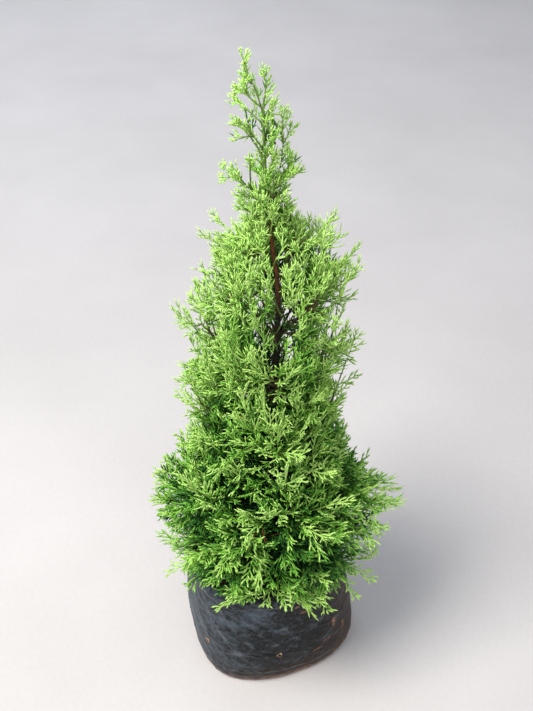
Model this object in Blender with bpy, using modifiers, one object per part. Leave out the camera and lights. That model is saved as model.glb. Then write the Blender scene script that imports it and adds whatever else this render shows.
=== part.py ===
"""A young lemon cypress in a black nursery bag, modelled as separate closed solids.

The tree stands upright (+Z), with the origin at the centre of the bag's flat underside. The side
that faces -Y is its front. Everything is worked out from the driving sizes below:

- the bag is a turned shell whose round is pulled into a soft, three-cornered oval;
- the soil fills it, a little below the folded rim;
- the trunk is one tapering limb from the soil to the fork below the tip;
- the crown is shared out into tiers of cells, each between two rising cones and two upright planes
  through the trunk, and every mass of foliage keeps to its own cell.
"""

import math
import random

import bmesh
import bpy
import numpy as np
from mathutils import Matrix, Vector
from mathutils.bvhtree import BVHTree

MM = 0.001
GAP = 0.3 * MM  # clearance between pieces that touch on the real plant

# Bag: a 200 mm wide polythene bag, filled and slumped.
BAG_HEIGHT = 105 * MM
BAG_WALL = 1.2 * MM
BAG_OVAL = 3.0 * MM  # how much wider the bag is from side to side
BAG_CORNER = 4.0 * MM  # how far the three soft corners of the folded base stand out
BAG_CORNER_AT = math.radians(-122)
BAG_SIDES = 24
# Radius and height of the outer wall, from the flat underside to the folded-in rim.
BAG_PROFILE = (
    (57.5, 0.0),
    (62.8, 1.8),
    (65.4, 8.0),
    (66.5, 30.0),
    (65.0, 66.0),
    (63.2, 98.0),
    (60.5, 105.0),
    (56.5, 103.0),
)

# Soil: radius and height of the plug that fills the bag.
SOIL_FIT = 1.8 * MM  # distance from the bag's outer wall, past its thickness
SOIL_PROFILE = (
    (56.5, 1.6),
    (61.2, 3.2),
    (63.6, 9.0),
    (64.6, 30.0),
    (63.1, 66.0),
    (61.9, 87.0),
    (40.0, 91.0),
    (15.0, 92.0),
)
SOIL_TOP = 92 * MM

# Trunk: sideways lean and radius, in millimetres, at heights above the ground.
TRUNK_TOP = 474 * MM
TRUNK_LEAN = ((92, 0.0), (98, 0.0), (170, -2.0), (250, -5.0), (300, -4.5), (345, -5.0),
              (390, -9.5), (415, -11.0), (432, -14.5), (455, -16.2), (474, -16.8), (520, -16.8))
TRUNK_RADII = ((92, 5.0), (98, 4.0), (110, 3.6), (250, 2.7), (345, 1.6), (420, 1.1), (474, 0.8))
TRUNK_SWAY = 1.5 * MM  # front to back
TRUNK_SWAY_LENGTH = 300 * MM
TRUNK_STEPS = 16
TRUNK_SIDES_SETTING = 2  # bevel resolution: eight sides

# Crown: how far the tips reach from the trunk, in millimetres, at heights above the ground.
CROWN_PROFILE = ((86, 80), (105, 87), (125, 90), (155, 90), (172, 86), (188, 80), (200, 73),
                 (215, 65), (235, 57), (345, 57), (372, 54), (383, 49), (392, 41), (405, 37),
                 (413, 27), (424, 17), (438, 24), (457, 17), (470, 15), (484, 18), (497, 15),
                 (512, 16))
CROWN_HEIGHT = 511 * MM
RIGHT_BOUGH_EXTRA = 15 * MM  # the long low bough on the right
RIGHT_BOUGH_HEIGHT = 152 * MM
RIGHT_BOUGH_SPREAD = 30 * MM
CROWN_SHIFT = 6 * MM  # the middle of the crown is fuller on the left
CROWN_SHIFT_HEIGHT = 300 * MM
CROWN_SHIFT_SPREAD = 70 * MM
SKIRT_FLOOR = 87 * MM  # lowest tips, outside the bag
BAG_CLEAR = 1.2 * MM
CELL_MARGIN = 0.9 * MM

# The cones that part the tiers: height on the trunk in millimetres, and rise per unit of radius.
FLOORS = ((98, -0.30), (137, 0.28), (180, 0.72), (234, 1.05), (286, 1.30), (336, 1.48),
          (382, 1.60), (426, 1.70), (457, 1.80))
# Each tier: name, number of masses, azimuth of the first in degrees, radius in millimetres where
# the masses start (0 starts them at the trunk), longest spray in millimetres, sprays, core.
TIERS = (
    ("skirt", 6, -90, 0, 42, 12, True),
    ("low", 5, 0, 0, 44, 12, True),
    ("middle", 4, -85, 15, 46, 12, True),
    ("waist", 4, 180, 16, 44, 11, False),
    ("upper", 4, 225, 13, 40, 10, False),
    ("shoulder", 3, -15, 10, 36, 10, False),
    ("spire", 3, 45, 0, 28, 6, False),
    ("point", 2, 165, 0, 22, 5, False),
)
BOUGH_RADIUS = 1.7 * MM
BOUGH_TIP_RADIUS = 1.3 * MM
FORK_BOUGH_RADIUS = 2.0 * MM  # the bough that forks from the trunk on the left
STEM_RADIUS = 1.45 * MM
STEM_TIP_RADIUS = 1.1 * MM
TWIG_RADIUS = 0.85 * MM
TWIG_TIP_RADIUS = 0.5 * MM
TWIG_ANGLE = math.radians(42)
SPRAY_THICKNESS = 1.1 * MM
SPRAY_ROOT = 0.75 * MM  # half its width
SPRAY_SINK = 1.0 * MM
SPRAY_TEETH = 2  # a side
SPRAY_WIDTH = 0.28  # half the width at the lowest teeth, of the length
SPRAY_ROLLS = (0.0, 0.5, -0.5, 1.0, -1.0, 1.5)
SHORTEST_SPRAY = 9 * MM
SPREAD_STEPS = (0.7549, 0.5698)
REACH_SHARES = (1.0, 0.72, 0.9)
THINNED = 0.73  # share of a mass's triangles kept, the slivers at its joins going first
TRIES = 16  # lengths tried from the longest to two fifths of it

BARK_RED = (0.085, 0.035, 0.018, 1.0)
BARK_DARK = (0.030, 0.018, 0.012, 1.0)
FOLIAGE_GREEN = (0.16, 0.36, 0.045, 1.0)
FOLIAGE_LIME = (0.27, 0.50, 0.08, 1.0)
BAG_BLACK = (0.035, 0.038, 0.042, 1.0)
SOIL_BROWN = (0.050, 0.030, 0.018, 1.0)


def clear_scene():
    for obj in list(bpy.data.objects):
        bpy.data.objects.remove(obj, do_unlink=True)


def new_collection(name):
    collection = bpy.data.collections.new(name)
    bpy.context.scene.collection.children.link(collection)
    return collection


def material(name, color, roughness, metallic=0.0):
    mat = bpy.data.materials.new(name)
    mat.use_nodes = True
    shader = mat.node_tree.nodes["Principled BSDF"]
    shader.inputs["Base Color"].default_value = color
    shader.inputs["Roughness"].default_value = roughness
    shader.inputs["Metallic"].default_value = metallic
    mat.diffuse_color = color
    return mat


def refreshed_graph():
    bpy.context.view_layer.update()
    return bpy.context.evaluated_depsgraph_get()


def along(pairs, height):
    """A driving size at a height, both in metres, read from a table in millimetres."""
    heights, sizes = zip(*pairs)
    return np.interp(np.asarray(height) / MM, heights, sizes) * MM


def trunk_heights():
    """Heights of the trunk's rings: close together in the root flare, then evenly up to the fork."""
    low = SOIL_TOP + GAP
    return np.append([low, low + 5 * MM], np.linspace(low + 14 * MM, TRUNK_TOP, TRUNK_STEPS))


def trunk_centre(height):
    """Centre of the trunk at a height: its sideways lean and its sway from front to back."""
    rings = trunk_heights()
    x = np.interp(height, rings, along(TRUNK_LEAN, rings))
    y = np.interp(height, rings, TRUNK_SWAY * np.sin(2 * math.pi * rings / TRUNK_SWAY_LENGTH))
    return x, y


def crown_reach(height, azimuth):
    """How far from the trunk the crown's tips reach at a height and an azimuth."""
    reach = along(CROWN_PROFILE, height)
    off_right = (np.asarray(height) - RIGHT_BOUGH_HEIGHT) / RIGHT_BOUGH_SPREAD
    facing_right = np.maximum(0.0, np.cos(azimuth)) ** 4
    reach = reach + RIGHT_BOUGH_EXTRA * np.exp(-(off_right**2)) * facing_right
    off_middle = (np.asarray(height) - CROWN_SHIFT_HEIGHT) / CROWN_SHIFT_SPREAD
    return reach - CROWN_SHIFT * np.exp(-(off_middle**2)) * np.cos(azimuth)


def bag_round(radius, azimuth):
    """The bag's radius at an azimuth: a circle pulled into a soft, three-cornered oval."""
    share = np.clip(radius / 0.05, 0.0, 1.0)
    corners = BAG_CORNER * np.cos(3 * (azimuth - BAG_CORNER_AT))
    return radius + share * (BAG_OVAL * np.cos(2 * azimuth) + corners)


def turned_bag_shape(name, profile, sides):
    """Spins a profile about +Z, then pulls its round into the bag's outline."""
    bm = bmesh.new()
    points = [bm.verts.new((r * MM, 0.0, z * MM)) for r, z in profile]
    edges = [bm.edges.new(pair) for pair in zip(points, points[1:])]
    bmesh.ops.spin(
        bm, geom=points + edges, cent=(0, 0, 0), axis=(0, 0, 1),
        angle=2 * math.pi, steps=sides, use_duplicate=False,
    )
    bmesh.ops.remove_doubles(bm, verts=bm.verts, dist=1e-6)
    for vert in bm.verts:
        azimuth = math.atan2(vert.co.y, vert.co.x)
        radius = float(bag_round(math.hypot(vert.co.x, vert.co.y), azimuth))
        vert.co.x = radius * math.cos(azimuth)
        vert.co.y = radius * math.sin(azimuth)
    mesh = bpy.data.meshes.new(name)
    return bm, mesh


def close_ring(bm, height):
    """Fills the open ring of edges that lies at a height."""
    ring = [e for e in bm.edges if e.is_boundary and abs(e.verts[0].co.z - height) < 1e-5
            and abs(e.verts[1].co.z - height) < 1e-5]
    bmesh.ops.contextual_create(bm, geom=ring)


def finish_mesh(bm, mesh, name, mat, collection):
    bmesh.ops.recalc_face_normals(bm, faces=bm.faces)
    bm.to_mesh(mesh)
    bm.free()
    obj = bpy.data.objects.new(name, mesh)
    collection.objects.link(obj)
    mesh.materials.append(mat)
    mesh.shade_smooth()
    mesh.set_sharp_from_angle(angle=math.radians(40))
    return obj


def make_bag(mat, collection):
    """The bag: an open film shell with a flat underside and a folded-in rim."""
    bm, mesh = turned_bag_shape("grow_bag", BAG_PROFILE, BAG_SIDES)
    close_ring(bm, 0.0)
    bag = finish_mesh(bm, mesh, "grow_bag", mat, collection)
    wall = bag.modifiers.new("film", "SOLIDIFY")
    wall.thickness = BAG_WALL
    wall.offset = -1.0
    wall.use_even_offset = True
    return bag


def make_soil(mat, collection):
    """The root ball and soil: one solid that fills the bag up to a low mound round the trunk."""
    bm, mesh = turned_bag_shape("soil", SOIL_PROFILE, BAG_SIDES)
    close_ring(bm, SOIL_PROFILE[0][1] * MM)
    close_ring(bm, SOIL_PROFILE[-1][1] * MM)
    return finish_mesh(bm, mesh, "soil", mat, collection)


def curve_mesh(curve, name):
    """The closed mesh that a curve with a bevel or an extrusion makes."""
    obj = bpy.data.objects.new(name + "_line", curve)
    bpy.context.scene.collection.objects.link(obj)
    graph = bpy.context.evaluated_depsgraph_get()
    mesh = bpy.data.meshes.new_from_object(obj.evaluated_get(graph))
    bpy.data.objects.remove(obj, do_unlink=True)
    bm = bmesh.new()
    bm.from_mesh(mesh)
    bmesh.ops.remove_doubles(bm, verts=bm.verts, dist=1e-7)
    bmesh.ops.recalc_face_normals(bm, faces=bm.faces)
    bm.to_mesh(mesh)
    bm.free()
    mesh.name = name
    return mesh


def limb_mesh(name, points, radii, setting):
    """A tapering limb along the points, as a mesh with its ends closed.

    The limb is a poly curve with a round bevel. Setting 0 gives four sides, 2 gives eight.
    """
    curve = bpy.data.curves.new(name + "_line", "CURVE")
    curve.dimensions = "3D"
    curve.bevel_depth = 1.0
    curve.bevel_resolution = setting
    curve.use_fill_caps = True
    spline = curve.splines.new("POLY")
    spline.points.add(len(points) - 1)
    for point, place, radius in zip(spline.points, points, radii):
        point.co = (*place, 1.0)
        point.radius = radius
    mesh = curve_mesh(curve, name)
    bpy.data.curves.remove(curve)
    return mesh


def add_object(name, mesh, mat, collection):
    obj = bpy.data.objects.new(name, mesh)
    collection.objects.link(obj)
    mesh.materials.clear()
    mesh.materials.append(mat)
    return obj


def make_trunk(mat, collection):
    """The trunk, from its flat cut on the soil to the fork below the tip, with its root flare."""
    rings = trunk_heights()
    points = [(float(x), float(y), height) for x, y, height in zip(*trunk_centre(rings), rings)]
    points[0] = (points[1][0], points[1][1], points[0][2])
    radii = along(TRUNK_RADII, rings)
    mesh = limb_mesh("trunk", points, radii, TRUNK_SIDES_SETTING)
    return add_object("trunk", mesh, mat, collection)


class Cell:
    """The space of one mass: a sector of the crown between two rising cones."""

    def __init__(self, floor, ceiling, azimuth, half_width, start=0.0):
        self.floor = floor
        self.ceiling = ceiling
        self.azimuth = azimuth
        self.half_width = half_width
        self.start = start

    def middle(self, radius, turn=0.0):
        """The point halfway between the two cones, at a radius from the trunk."""
        height = (self.floor[0] + self.ceiling[0]) / 2 * MM
        height += (self.floor[1] + self.ceiling[1]) / 2 * radius
        x, y = trunk_centre(height)
        azimuth = self.azimuth + turn
        return Vector((x + radius * math.cos(azimuth), y + radius * math.sin(azimuth), height))

    def place(self, across, upward, outward):
        """A point in the cell, by its shares of the cell's azimuth, height and reach."""
        azimuth = self.azimuth + (across - 0.5) * 1.7 * self.half_width
        share = 0.08 + 0.84 * upward
        radius = 30 * MM
        for _ in range(4):  # the reach depends on the height that it is read at
            low = self.floor[0] * MM + self.floor[1] * radius
            height = low + share * (self.ceiling[0] * MM + self.ceiling[1] * radius - low)
            radius = outward * float(crown_reach(height, azimuth))
        x, y = trunk_centre(height)
        return Vector((x + radius * math.cos(azimuth), y + radius * math.sin(azimuth), height))

    def holds(self, points):
        """Whether every point lies in the cell, clear of the trunk, the bag and the neighbours."""
        p = np.asarray(points)
        x, y = trunk_centre(p[:, 2])
        dx, dy = p[:, 0] - x, p[:, 1] - y
        radius = np.hypot(dx, dy)
        azimuth = np.arctan2(dy, dx)
        off = np.abs((azimuth - self.azimuth + math.pi) % (2 * math.pi) - math.pi)
        beside = radius * np.sin(np.clip(self.half_width - off, -math.pi / 2, math.pi / 2))
        above = p[:, 2] - (self.floor[0] * MM + self.floor[1] * radius)
        below = self.ceiling[0] * MM + self.ceiling[1] * radius - p[:, 2]
        trunk = radius - np.maximum(along(TRUNK_RADII, p[:, 2]) + 2 * CELL_MARGIN, self.start)
        reach = crown_reach(p[:, 2], azimuth) - radius
        ground = np.hypot(p[:, 0], p[:, 1])
        rim = bag_round(66.5 * MM, np.arctan2(p[:, 1], p[:, 0])) + BAG_CLEAR
        bag = np.where(ground < rim, p[:, 2] - BAG_HEIGHT - BAG_CLEAR, p[:, 2] - SKIRT_FLOOR)
        room = np.minimum.reduce([beside, above, below]) - CELL_MARGIN
        return bool(np.minimum.reduce([room, trunk, reach, bag]).min() > 0.0)


class TipCell(Cell):
    """The space above the last cone, parted by an upright plane left of the leader."""

    def __init__(self, side):
        floor = FLOORS[-1]
        super().__init__(floor, (CROWN_HEIGHT / MM + 1, 0.0), math.pi if side < 0 else 0.0, math.pi)
        self.side = side

    def place(self, across, upward, outward):
        height = (FLOORS[-1][0] + 22 + 34 * upward) * MM
        x = float(trunk_centre(TRUNK_TOP)[0]) - 3.2 * MM
        return Vector((x + self.side * outward * (4 + 9 * across) * MM,
                       (across - 0.5) * 16 * MM * self.side, height))

    def holds(self, points):
        p = np.asarray(points)
        plane = trunk_centre(TRUNK_TOP)[0] - 3.2 * MM
        beside = (p[:, 0] - plane) * self.side - CELL_MARGIN / 2
        x, y = trunk_centre(p[:, 2])
        radius = np.hypot(p[:, 0] - x, p[:, 1] - y)
        over = p[:, 2] - FLOORS[-1][0] * MM - FLOORS[-1][1] * radius
        reach = crown_reach(p[:, 2], math.pi) - radius
        room = np.minimum.reduce([beside, over, reach, CROWN_HEIGHT - p[:, 2]])
        return bool(room.min() > 0.0)


def spray_outline(length):
    """Half the outline of a toothed blade: teeth that point forward, longest near the root."""
    side = [(0.0, SPRAY_ROOT)]
    for k in range(SPRAY_TEETH):
        size = SPRAY_WIDTH * length * (1.0 - 0.26 * k)
        tip = (0.42 + 0.36 * k) * length
        side += [(tip, size), (tip + 0.02 * length, 0.22 * size)]
    return side[:-1]


def spray_mesh(name, length):
    """A flat toothed blade, from a filled and extruded outline. Its root is at the origin."""
    side = spray_outline(length)
    outline = side + [(length, 0.0)] + [(x, -y) for x, y in reversed(side)]
    curve = bpy.data.curves.new(name, "CURVE")
    curve.dimensions = "2D"
    curve.fill_mode = "BOTH"
    curve.extrude = SPRAY_THICKNESS / 2
    spline = curve.splines.new("POLY")
    spline.points.add(len(outline) - 1)
    for point, (x, y) in zip(spline.points, outline):
        point.co = (x, y, 0.0, 1.0)
    spline.use_cyclic_u = True
    mesh = curve_mesh(curve, name)
    bpy.data.curves.remove(curve)
    return mesh


def frame_along(direction, normal, place):
    """A placing matrix whose X runs along direction and whose Z leans towards normal."""
    x = direction.normalized()
    z = (normal - x * normal.dot(x)).normalized()
    y = z.cross(x)
    turn = Matrix((x, y, z)).transposed().to_4x4()
    return Matrix.Translation(place) @ turn


class Mass:
    """One mass of foliage while it grows: a stem, and the twigs and sprays fused to it."""

    def __init__(self, name, cell, trunk_tree):
        self.name = name
        self.cell = cell
        self.taken = [trunk_tree]
        self.parts = bpy.data.collections.new(name + "_parts")
        bpy.context.scene.collection.children.link(self.parts)

    def add(self, mesh, matrix):
        obj = bpy.data.objects.new(self.name + "_piece", mesh)
        obj.matrix_world = matrix
        self.parts.objects.link(obj)

    def fit_spray(self, matrix, longest):
        """The longest spray that the cell holds at this place, clear of the other sprays."""
        for k in range(TRIES):
            length = longest * (1.0 - 0.6 * k / TRIES)
            if length < SHORTEST_SPRAY:
                return 0.0
            side = spray_outline(length)
            rim = side + [(length, 0.0)]
            rim += [((a[0] + b[0]) / 2, (a[1] + b[1]) / 2) for a, b in zip(rim, rim[1:])]
            flat = [Vector((x, s * y, t * SPRAY_THICKNESS / 2)) for x, y in rim[1:]
                    for s in (-1, 1) for t in (-1, 1)]
            if self.cell.holds([matrix @ c for c in flat if c.x > 0.08 * length]):
                return length
        return 0.0

    def add_spray(self, place, direction, normal, longest):
        """Adds a spray with its root sunk in the limb at place, rolled to where it fits best."""
        root = place - direction.normalized() * SPRAY_SINK
        best = (0.0, None, None)
        for roll in SPRAY_ROLLS:
            turn = Matrix.Rotation(roll, 3, direction)
            matrix = frame_along(direction, turn @ normal, root)
            length = self.fit_spray(matrix, longest)
            if length > best[0] * 1.12:
                side = [(x, y) for x, y in spray_outline(length)]
                rim = side[1:] + [(length, 0.0)] + [(x, -y) for x, y in reversed(side[1:])]
                tree = BVHTree.FromPolygons(
                    [matrix @ Vector((x, y, z * SPRAY_THICKNESS)) for z in (-1, 1) for x, y in rim],
                    [list(range(len(rim))), list(range(len(rim), 2 * len(rim)))],
                )
                if not any(tree.overlap(other) for other in self.taken):
                    best = (length, matrix, tree)
        length, matrix, tree = best
        if matrix is None:
            return False
        self.taken.append(tree)
        self.add(spray_mesh(self.name + "_spray", length), matrix)
        return True

    def add_twig(self, place, direction, longest):
        """Adds a tapering twig if the cell holds it, and returns its tip."""
        for k in range(TRIES):
            length = longest * (1.0 - 0.6 * k / TRIES)
            probe = [place + direction * length * f for f in (0.6, 1.0)]
            around = [q + Vector(d) * TWIG_RADIUS for q in probe
                      for d in ((1, 0, 0), (-1, 0, 0), (0, 1, 0), (0, -1, 0), (0, 0, 1), (0, 0, -1))]
            if self.cell.holds(around):
                bm = bmesh.new()
                bmesh.ops.create_cone(
                    bm, cap_ends=True, segments=3, radius1=TWIG_RADIUS,
                    radius2=TWIG_TIP_RADIUS, depth=length,
                )
                bmesh.ops.translate(bm, verts=bm.verts, vec=(0, 0, length / 2))
                mesh = bpy.data.meshes.new(self.name + "_twig")
                bm.to_mesh(mesh)
                bm.free()
                turn = Vector((0, 0, 1)).rotation_difference(direction).to_matrix().to_4x4()
                self.add(mesh, Matrix.Translation(place) @ turn)
                return place + direction * length
        return None

    def add_core(self, stem):
        """Adds the dense heart of the mass: the largest low ellipsoid that its cell holds."""
        outward = (stem[-1] - stem[0]).normalized()
        span = (stem[-1] - stem[0]).length
        for share in np.linspace(0.46, 0.20, TRIES):
            for middle in (0.62, 0.5):
                matrix = frame_along(outward, Vector((0, 0, 1)), stem[0].lerp(stem[-1], middle))
                bm = bmesh.new()
                bmesh.ops.create_icosphere(bm, subdivisions=1, radius=1.0)
                size = (share * span, 0.78 * share * span, 0.34 * share * span, 1.0)
                bmesh.ops.transform(bm, matrix=Matrix.Diagonal(size), verts=bm.verts)
                if self.cell.holds([matrix @ v.co for v in bm.verts]):
                    mesh = bpy.data.meshes.new(self.name + "_core")
                    bm.to_mesh(mesh)
                    bm.free()
                    self.add(mesh, matrix)
                    return
                bm.free()

    def join(self, stem_mesh, mat, collection):
        """Fuses stem, twigs and sprays into one closed body, less the last spray if that fails."""
        obj = bpy.data.objects.new(self.name, stem_mesh)
        collection.objects.link(obj)
        mesh = self.joined(obj)
        while mesh is None:
            bpy.data.objects.remove(self.parts.objects[-1], do_unlink=True)
            mesh = self.joined(obj)
        for piece in list(self.parts.objects):
            bpy.data.objects.remove(piece, do_unlink=True)
        bpy.data.collections.remove(self.parts)
        mesh.name = self.name
        obj.data = mesh
        mesh.materials.clear()
        mesh.materials.append(mat)
        return obj

    def joined(self, obj):
        """The union of the stem and the pieces, thinned as far as it stays closed, or None."""
        stem_mesh = obj.data
        union = obj.modifiers.new("joined", "BOOLEAN")
        union.operation = "UNION"
        union.operand_type = "COLLECTION"
        union.solver = "EXACT"
        union.collection = self.parts
        mesh = bpy.data.meshes.new_from_object(obj.evaluated_get(refreshed_graph()))
        obj.modifiers.clear()
        keep_largest_body(mesh)
        drop_slivers(mesh)
        obj.data = mesh
        thin = obj.modifiers.new("thinned", "DECIMATE")
        for ratio in np.linspace(THINNED, 1.0, 6):
            thin.ratio = ratio
            found = bpy.data.meshes.new_from_object(obj.evaluated_get(refreshed_graph()))
            if closed_mesh(found):
                break
            found = None
        obj.modifiers.clear()
        obj.data = stem_mesh
        return found


def keep_largest_body(mesh):
    """Leaves only the largest connected body: loose scraps and sealed hollows go."""
    bm = bmesh.new()
    bm.from_mesh(mesh)
    bmesh.ops.remove_doubles(bm, verts=bm.verts, dist=1e-7)
    unseen = set(bm.verts)
    bodies = []
    while unseen:
        stack = [unseen.pop()]
        body = set(stack)
        while stack:
            for edge in stack.pop().link_edges:
                for vert in edge.verts:
                    if vert in unseen:
                        unseen.discard(vert)
                        body.add(vert)
                        stack.append(vert)
        bodies.append(body)
    largest = max(bodies, key=len)
    loose = [v for body in bodies if body is not largest for v in body]
    bmesh.ops.delete(bm, geom=loose, context="VERTS")
    bm.to_mesh(mesh)
    bm.free()


def closed_mesh(mesh):
    """Whether each edge has two faces, also once points within a thousandth of a mm are one."""
    mesh.calc_loop_triangles()
    points = np.empty(len(mesh.vertices) * 3)
    mesh.vertices.foreach_get("co", points)
    faces = np.empty(len(mesh.loop_triangles) * 3, np.int32)
    mesh.loop_triangles.foreach_get("vertices", faces)
    _, index = np.unique(np.round(points.reshape(-1, 3) / 1e-6), axis=0, return_inverse=True)
    for corners in (faces.reshape(-1, 3), index.reshape(-1)[faces].reshape(-1, 3)):
        ends = np.concatenate([corners[:, [0, 1]], corners[:, [1, 2]], corners[:, [2, 0]]])
        ends = np.sort(ends[ends[:, 0] != ends[:, 1]], axis=1)
        if (np.unique(ends, axis=0, return_counts=True)[1] != 2).any():
            return False
    return True


def drop_slivers(mesh):
    """Merges the flat faces that a union cut up, unless that would open the body."""
    bm = bmesh.new()
    bm.from_mesh(mesh)
    bmesh.ops.dissolve_limit(
        bm, angle_limit=math.radians(0.5), verts=bm.verts, edges=bm.edges,
    )
    bmesh.ops.triangulate(bm, faces=bm.faces)
    if all(len(e.link_faces) == 2 for e in bm.edges):
        bm.to_mesh(mesh)
    bm.free()


def grow_mass(name, cell, stem, spray_length, sprays, with_core, mats, trunk_tree, collection):
    """Grows one mass: each spray leaves the stem at the twig angle towards its own place.

    The places fill the cell evenly: azimuth and height step by fractions of the cell that never
    repeat, and the radius goes through three shares of the crown's reach.
    """
    rng = random.Random(name)
    mass = Mass(name, cell, trunk_tree)
    radii = np.linspace(STEM_RADIUS, STEM_TIP_RADIUS, len(stem))
    stem_mesh = limb_mesh(name + "_stem", stem, radii, 0)
    if with_core:
        mass.add_core(stem)
    up = Vector((0, 0, 1))
    last = (stem[-1] - stem[-2]).normalized()
    mass.add_spray(stem[-1], last, up + last.cross(up) * rng.uniform(-0.8, 0.8), spray_length)
    for k in range(sprays):
        place = cell.place(
            (0.5 + (k + 1) * SPREAD_STEPS[0]) % 1.0,
            (0.5 + (k + 1) * SPREAD_STEPS[1]) % 1.0,
            REACH_SHARES[k % len(REACH_SHARES)],
        )
        best = (9.0, None, None)
        for index in np.linspace(1.02, len(stem) - 1.05, 24):
            base = int(index)
            root = stem[base].lerp(stem[base + 1], index - base)
            along_stem = (stem[base + 1] - stem[base]).normalized()
            miss = abs((place - root).angle(along_stem) - TWIG_ANGLE)
            if miss < best[0]:
                best = (miss, root, along_stem)
        _, root, along_stem = best
        direction = (place - root).normalized()
        across = direction.cross(up).normalized()
        normal = across * rng.uniform(-1.0, 1.0) + up * rng.uniform(0.3, 1.0)
        bare = (place - root).length - 0.75 * spray_length
        if bare > 4 * MM:
            tip = mass.add_twig(root, direction, bare)
            if tip is not None:
                mass.add_spray(tip, direction, normal, spray_length)
                continue
        mass.add_spray(root, direction, normal, spray_length)
    return mass.join(stem_mesh, mats["foliage"], collection)


def limb_start(azimuth, height, radius):
    """A point just clear of the trunk, and the one after it: a limb's first step is level."""
    out = np.array((math.cos(azimuth), math.sin(azimuth)))
    span = np.array((height - radius, height, height + radius))
    x, y = trunk_centre(span)
    lean = (x - x[1]) * out[0] + (y - y[1]) * out[1]
    clear = float((lean + along(TRUNK_RADII, span)).max()) + GAP
    centre = Vector((float(x[1]), float(y[1]), height))
    out = Vector((*out, 0.0))
    return [centre + out * clear, centre + out * (clear + 0.8 * radius + 0.6 * MM)]


def make_tier(index, tier, mats, trunk_tree, collection):
    """One tier of the crown: its boughs, where they show, and its masses."""
    name, count, first, start, spray_length, sprays, with_core = tier
    floor, ceiling = FLOORS[index], FLOORS[index + 1]
    half_width = math.pi / count
    for k in range(count):
        azimuth = math.radians(first) + 2 * half_width * k
        clear = (start + 0.9) * MM if start else 0.0
        cell = Cell(floor, ceiling, azimuth, half_width, clear)
        foot = (floor[0] + ceiling[0]) / 2 * MM
        reach = 0.0
        for _ in range(4):  # the reach depends on the height that it is read at
            height = cell.middle(reach * 0.9).z
            reach = float(crown_reach(height, azimuth))
        stem_end = reach - 0.6 * spray_length * MM
        label = f"{name}_{k + 1}"
        if start:
            radius = FORK_BOUGH_RADIUS if (name, k) == ("waist", 0) else BOUGH_RADIUS
            begin = limb_start(azimuth, foot, radius)
            joint = cell.middle(start * MM)
            points = begin + [begin[-1].lerp(joint, 0.5) + Vector((0, 0, 0.4 * MM)), joint]
            radii = np.linspace(radius, BOUGH_TIP_RADIUS, len(points))
            mesh = limb_mesh("bough_" + label, points, radii, 1)
            add_object("bough_" + label, mesh, mats["bark"], collection)
            outward = (points[-1] - points[-2]).normalized()
            stem = [joint + outward * GAP, joint + outward * (GAP + 2 * MM)]
            inner = start * MM + 6 * MM
        else:
            stem = limb_start(azimuth, foot, STEM_RADIUS)
            inner = 10 * MM if count > 2 else 5 * MM
        turn = 0.05 if k % 2 else -0.05
        for share in (0.0, 0.5, 1.0):
            stem.append(cell.middle(inner + max(stem_end - inner, 4 * MM) * share, turn * share))
        grow_mass(label, cell, stem, spray_length * MM, sprays, with_core, mats, trunk_tree,
                  collection)


def make_tips(mats, trunk_tree, collection):
    """The two tips that end the tree: one over the trunk, and the taller, thinner one beside it."""
    x, y = (float(v) for v in trunk_centre(TRUNK_TOP))
    top = Vector((x, y, TRUNK_TOP + GAP))
    stem = [top, top + Vector((0, 0, 4 * MM)), top + Vector((0.3 * MM, 0, 10 * MM))]
    grow_mass("tip", TipCell(1), stem, 20 * MM, 5, False, mats, trunk_tree, collection)
    height = 464 * MM
    begin = limb_start(math.pi, height, STEM_TIP_RADIUS)
    foot = begin[-1]
    stem = begin + [foot + Vector((-3.0 * MM, 0, 13 * MM)), foot + Vector((-6.5 * MM, 0, 24 * MM)),
                    foot + Vector((-9.0 * MM, 0, 32 * MM))]
    grow_mass("tip_left", TipCell(-1), stem, 20 * MM, 5, False, mats, trunk_tree, collection)


def main():
    clear_scene()
    plant = new_collection("potted_lemon_cypress")
    mats = {
        "bag": material("black_film", BAG_BLACK, 0.38),
        "soil": material("potting_soil", SOIL_BROWN, 0.95),
        "trunk": material("trunk_bark", BARK_RED, 0.80),
        "bark": material("bough_bark", BARK_DARK, 0.80),
        "foliage": material("foliage", FOLIAGE_GREEN, 0.55),
    }
    make_bag(mats["bag"], plant)
    make_soil(mats["soil"], plant)
    trunk = make_trunk(mats["trunk"], plant)
    trunk_tree = BVHTree.FromObject(trunk, refreshed_graph())
    for index, tier in enumerate(TIERS):
        make_tier(index, tier, mats, trunk_tree, plant)
    make_tips(mats, trunk_tree, plant)


main()
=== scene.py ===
# %% [markdown]
# # A potted lemon cypress, dressed for its picture
#
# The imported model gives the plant's plain solids: a nursery bag, its soil, a trunk, boughs and
# masses of foliage. This lesson puts the finished surfaces round them. Sizes are in metres, and
# the numbers that describe the plant are written in millimetres and turned into metres by MM.

import math

import bpy
import numpy as np
from mathutils import Euler, Matrix, Vector


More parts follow.
